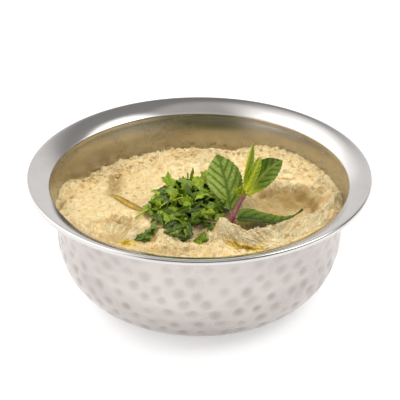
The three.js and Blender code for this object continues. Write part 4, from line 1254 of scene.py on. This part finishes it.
def make_parsley(material, dark_material):
    x, y = np.meshgrid(np.linspace(-24, 15, 96), np.linspace(-36, 16, 120), indexing="xy")
    # The core is a near-black filler under the pieces: painted shade for the gaps between them.
    core = heap_height(x, y, 0.72, 0.5) + 0.9 * fractal(x / 3.2, y / 3.2, 3, seed=91)
    points, faces, _ = patch_solid(x, y, core, dip_height(x, y) - 0.3, core > 30)
    part = (points, faces, {"tint": 0.1, "vein": 0.0, "pale": 0.0})
    make_piece("parsley_core", part, [dark_material], "chopped_parsley")

    random = np.random.default_rng(41)
    parts = []
    for (centre, half), count, tilt in ((HEAP, 128, 0.75), (LOBE, 14, 0.4)):
        for i in range(count):
            turn, spread = i * GOLDEN_ANGLE, math.sqrt((i + 0.5) / count)
            away = np.array([math.cos(turn) * spread, math.sin(turn) * spread])
            x, y = centre[:2] + half[:2] * away * 0.97
            z = max(ground(x, y) + 0.6, centre[2] + half[2] * 0.88 * math.sqrt(1 - spread**2))
            at = np.array([x, y, z + random.uniform(-0.4, 1.3)])
            normal = np.append(away * 0.8, 1.0) + random.normal(0, tilt, 3) * [1, 1, 0.2]
            small = 0.75 if spread > 0.9 else 1.0
            length, width = random.uniform(5.2, 9.6) * small, random.uniform(3.0, 5.8) * small
            tint = random.choice([0.15, 0.45, 0.85], p=[0.36, 0.4, 0.24]) + random.normal(0, 0.09)
            lifted = 0.7 if away[1] > -0.3 else 0.3
            tint = np.clip(tint, 0, 1)
            points, faces, values = loose_piece(random, at, normal, length, width, tint, lifted)
            # painted shade: loose pieces are darker the deeper they lie in the heap
            values["tint"] = np.clip(values["tint"] * (0.3 + 0.85 * heap_shade(*points.T)), 0, 1)
            parts.append((points, faces, values))
    parts += [parsley_piece(random, *each) for each in PARSLEY_LEAVES]
    parts += [parsley_stalk(*each) for each in PARSLEY_STALKS]
    make_piece("parsley_pieces", join_parts(parts), [material], "chopped_parsley")


# Scraps beside the heap: middle of the row, how far it reaches, how many pieces, seed, range of tints.
SCRAPS = {
    "parsley_scrap_left": ((-22.4, -27), (6, 7.4), 8, 5, (0.2, 0.7)),
    "parsley_scrap_front": ((0.6, -29.5), (2.4, 4), 4, 8, (0.6, 0.95)),
}


def make_scraps(material):
    for node, (middle, reach, bits, seed, tints) in SCRAPS.items():
        random = np.random.default_rng(seed)
        parts = []
        for i in range(bits):
            x, y = np.array(middle) + np.array(reach) * (i / (bits - 1) - 0.5)
            normal = [random.normal(0, 0.3), random.normal(-0.2, 0.3), 1.0]
            at = np.array([x, y, ground(x, y) + random.uniform(0.6, 1.3)])
            parts.append(loose_piece(random, at, normal, 6, 3.6, random.uniform(*tints), 0.2))
        make_piece(node + "_bits", join_parts(parts), [material], node)


# ---- studio

CAMERA_DISTANCE = 800
CAMERA_ELEVATION = math.radians(29.22)
LOOK_AT_HEIGHT = 42.14
FRAME_PIXELS = 400
FOCAL_PIXELS = 1827.3
SENSOR = 36.0
AXIS_PIXEL = 199.3  # picture column of the bowl's axis


def make_camera():
    data = bpy.data.cameras.new("studio_camera")
    data.sensor_width = SENSOR
    data.lens = SENSOR * FOCAL_PIXELS / FRAME_PIXELS
    data.shift_x = (FRAME_PIXELS / 2 - AXIS_PIXEL) / FRAME_PIXELS
    camera = bpy.data.objects.new("studio_camera", data)
    bpy.context.scene.collection.objects.link(camera)
    back = Vector((0, -math.cos(CAMERA_ELEVATION), math.sin(CAMERA_ELEVATION)))
    camera.location = (Vector((0, 0, LOOK_AT_HEIGHT)) + back * CAMERA_DISTANCE) * MM
    camera.rotation_euler = (-back).to_track_quat("-Z", "Y").to_euler()
    data.clip_start, data.clip_end = 0.01, 20
    bpy.context.scene.camera = camera


def make_floor():
    graph = Graph(bpy.data.materials.new("studio_floor"))
    pale = graph.surface(
        Base_Color=(0.8, 0.8, 0.8, 1),
        Roughness=0.7,
        Emission_Color=(1, 1, 1, 1),
        Emission_Strength=0.42,
    )
    mesh = bpy.data.meshes.new("studio_floor")
    reach = 3.0
    corners = [(-reach, -reach, 0), (reach, -reach, 0), (reach, reach, 0), (-reach, reach, 0)]
    mesh.from_pydata(corners, [], [(0, 1, 2, 3)])
    mesh.materials.append(pale)
    floor = bpy.data.objects.new("studio_floor", mesh)
    floor.location.z = -0.0002
    bpy.context.scene.collection.objects.link(floor)


# Soft light all round, in degrees: azimuth (0 is +X, 90 is behind the bowl), elevation, radius of the
# patch and of its middle; and its brightness.
SKY_PATCHES = [
    (0, 52, 26, 3, 5.0),  # main light, high on the right
    (175, 14, 66, 37, 1.32),  # large panel on the left
    (155, 49, 34, 8, 1.25),  # its brighter top
    (90, -7, 60, 37, 0.75),  # low backdrop
    (202, 79, 29, 22, 0.3),  # overhead
    (34, 47, 57, 3, 0.13),
    (270, 55, 36, 8, 0.55),  # soft light from the front
]
SKY_BASE = 0.19
BACKDROP = 0.95  # what the camera sees above the floor


def make_world():
    """A dim room with soft panels of light round the bowl, in front of a plain pale backdrop."""
    world = bpy.data.worlds.new("studio")
    bpy.context.scene.world = world
    graph = Graph(world)
    direction = graph.node("TexCoord").outputs["Generated"]
    total = SKY_BASE
    for azimuth, elevation, outer, inner, brightness in SKY_PATCHES:
        turn, rise = math.radians(azimuth), math.radians(elevation)
        towards = (math.cos(turn) * math.cos(rise), math.sin(turn) * math.cos(rise), math.sin(rise))
        near = graph.node("VectorMath", {0: direction, 1: towards}, operation="DOT_PRODUCT")
        edges = [math.cos(math.radians(reach)) for reach in (outer, inner)]
        patch = graph.spread(near.outputs["Value"], *edges, 0, brightness, interpolation_type="SMOOTHSTEP")
        total = graph.add(patch, total)
    seen = graph.node("LightPath").outputs["Is Camera Ray"]
    lit = graph.times(total, graph.math("SUBTRACT", 1.0, seen))
    strength = graph.add(lit, graph.times(seen, BACKDROP))
    background = graph.node("Background", {"Color": (1, 1, 1, 1), "Strength": strength})
    graph.node("OutputWorld", {"Surface": background.outputs["Background"]})


def make_studio():
    make_camera()
    make_floor()
    make_world()
    view = bpy.context.scene.view_settings
    view.view_transform, view.look = "Standard", "None"
    view.exposure, view.gamma = 0, 1


# ---- assembly

make_studio()
make_bowl(
    # The inside's steel is darker and warmer than the rim's: painted shade for the shaded inner wall.
    steel_material("steel_inside", "beb8ac", 0.27, 0.004, 0.88),
    steel_material("steel_rim", "cfcbc8", 0.15, 0.007, 0.93),
    # a79c95 is the painted shade of the hammer marks
    steel_material("steel_hammered", "c4bdb9", 0.27, 0.003, 0.9, "a79c95"),
)
paste = dip_material()
make_dip(paste)
make_fibres(paste)
make_crumbs(paste)

OPEN_OIL = [(0.0, "dec268"), (0.2, "b8921c"), (0.6, "866606"), (1.0, "403404")]
# SHADED_OIL with its lower gloss is a shaded copy of the oil, painted for the pool under the leaf
SHADED_OIL = [(0.0, "e0ce6e"), (0.5, "beaa3c"), (1.0, "827214")]
make_oil(oil_material("olive_oil", 0.3, OPEN_OIL), oil_material("olive_oil_in_shade", 0.06, SHADED_OIL))

MINT_TINTS = [(0.0, "263a00"), (0.4, "56700e"), (0.75, "7c922e"), (1.0, "aab662")]
SHOOT_TINTS = [(0.0, "425800"), (0.4, "7e9206"), (0.75, "acb81a"), (1.0, "d4d242")]
make_mint(
    leaf_material("mint_leaf", "263a00", "5a7214", "7a9036", 0.4, MINT_TINTS, 0.18),
    leaf_material("mint_shoot", "5a6c04", "82960e", "b0ba28", 0.4, SHOOT_TINTS),
    stem_material(),
)

PARSLEY_TINTS = [(0.0, "142400"), (0.4, "425c00"), (0.75, "7e9608"), (1.0, "c0ce38")]
DARK_TINTS = [(0.0, "0a1200"), (1.0, "162202")]
parsley_leaf = leaf_material(
    "parsley_leaf", "829a24", "3e5800", "647c08", 0.3, PARSLEY_TINTS, 0.28
)
parsley_dark = leaf_material("parsley_shade", "0e1602", "0c1402", "142004", 0.6, DARK_TINTS, 0.1)
make_parsley(parsley_leaf, parsley_dark)
make_scraps(parsley_leaf)
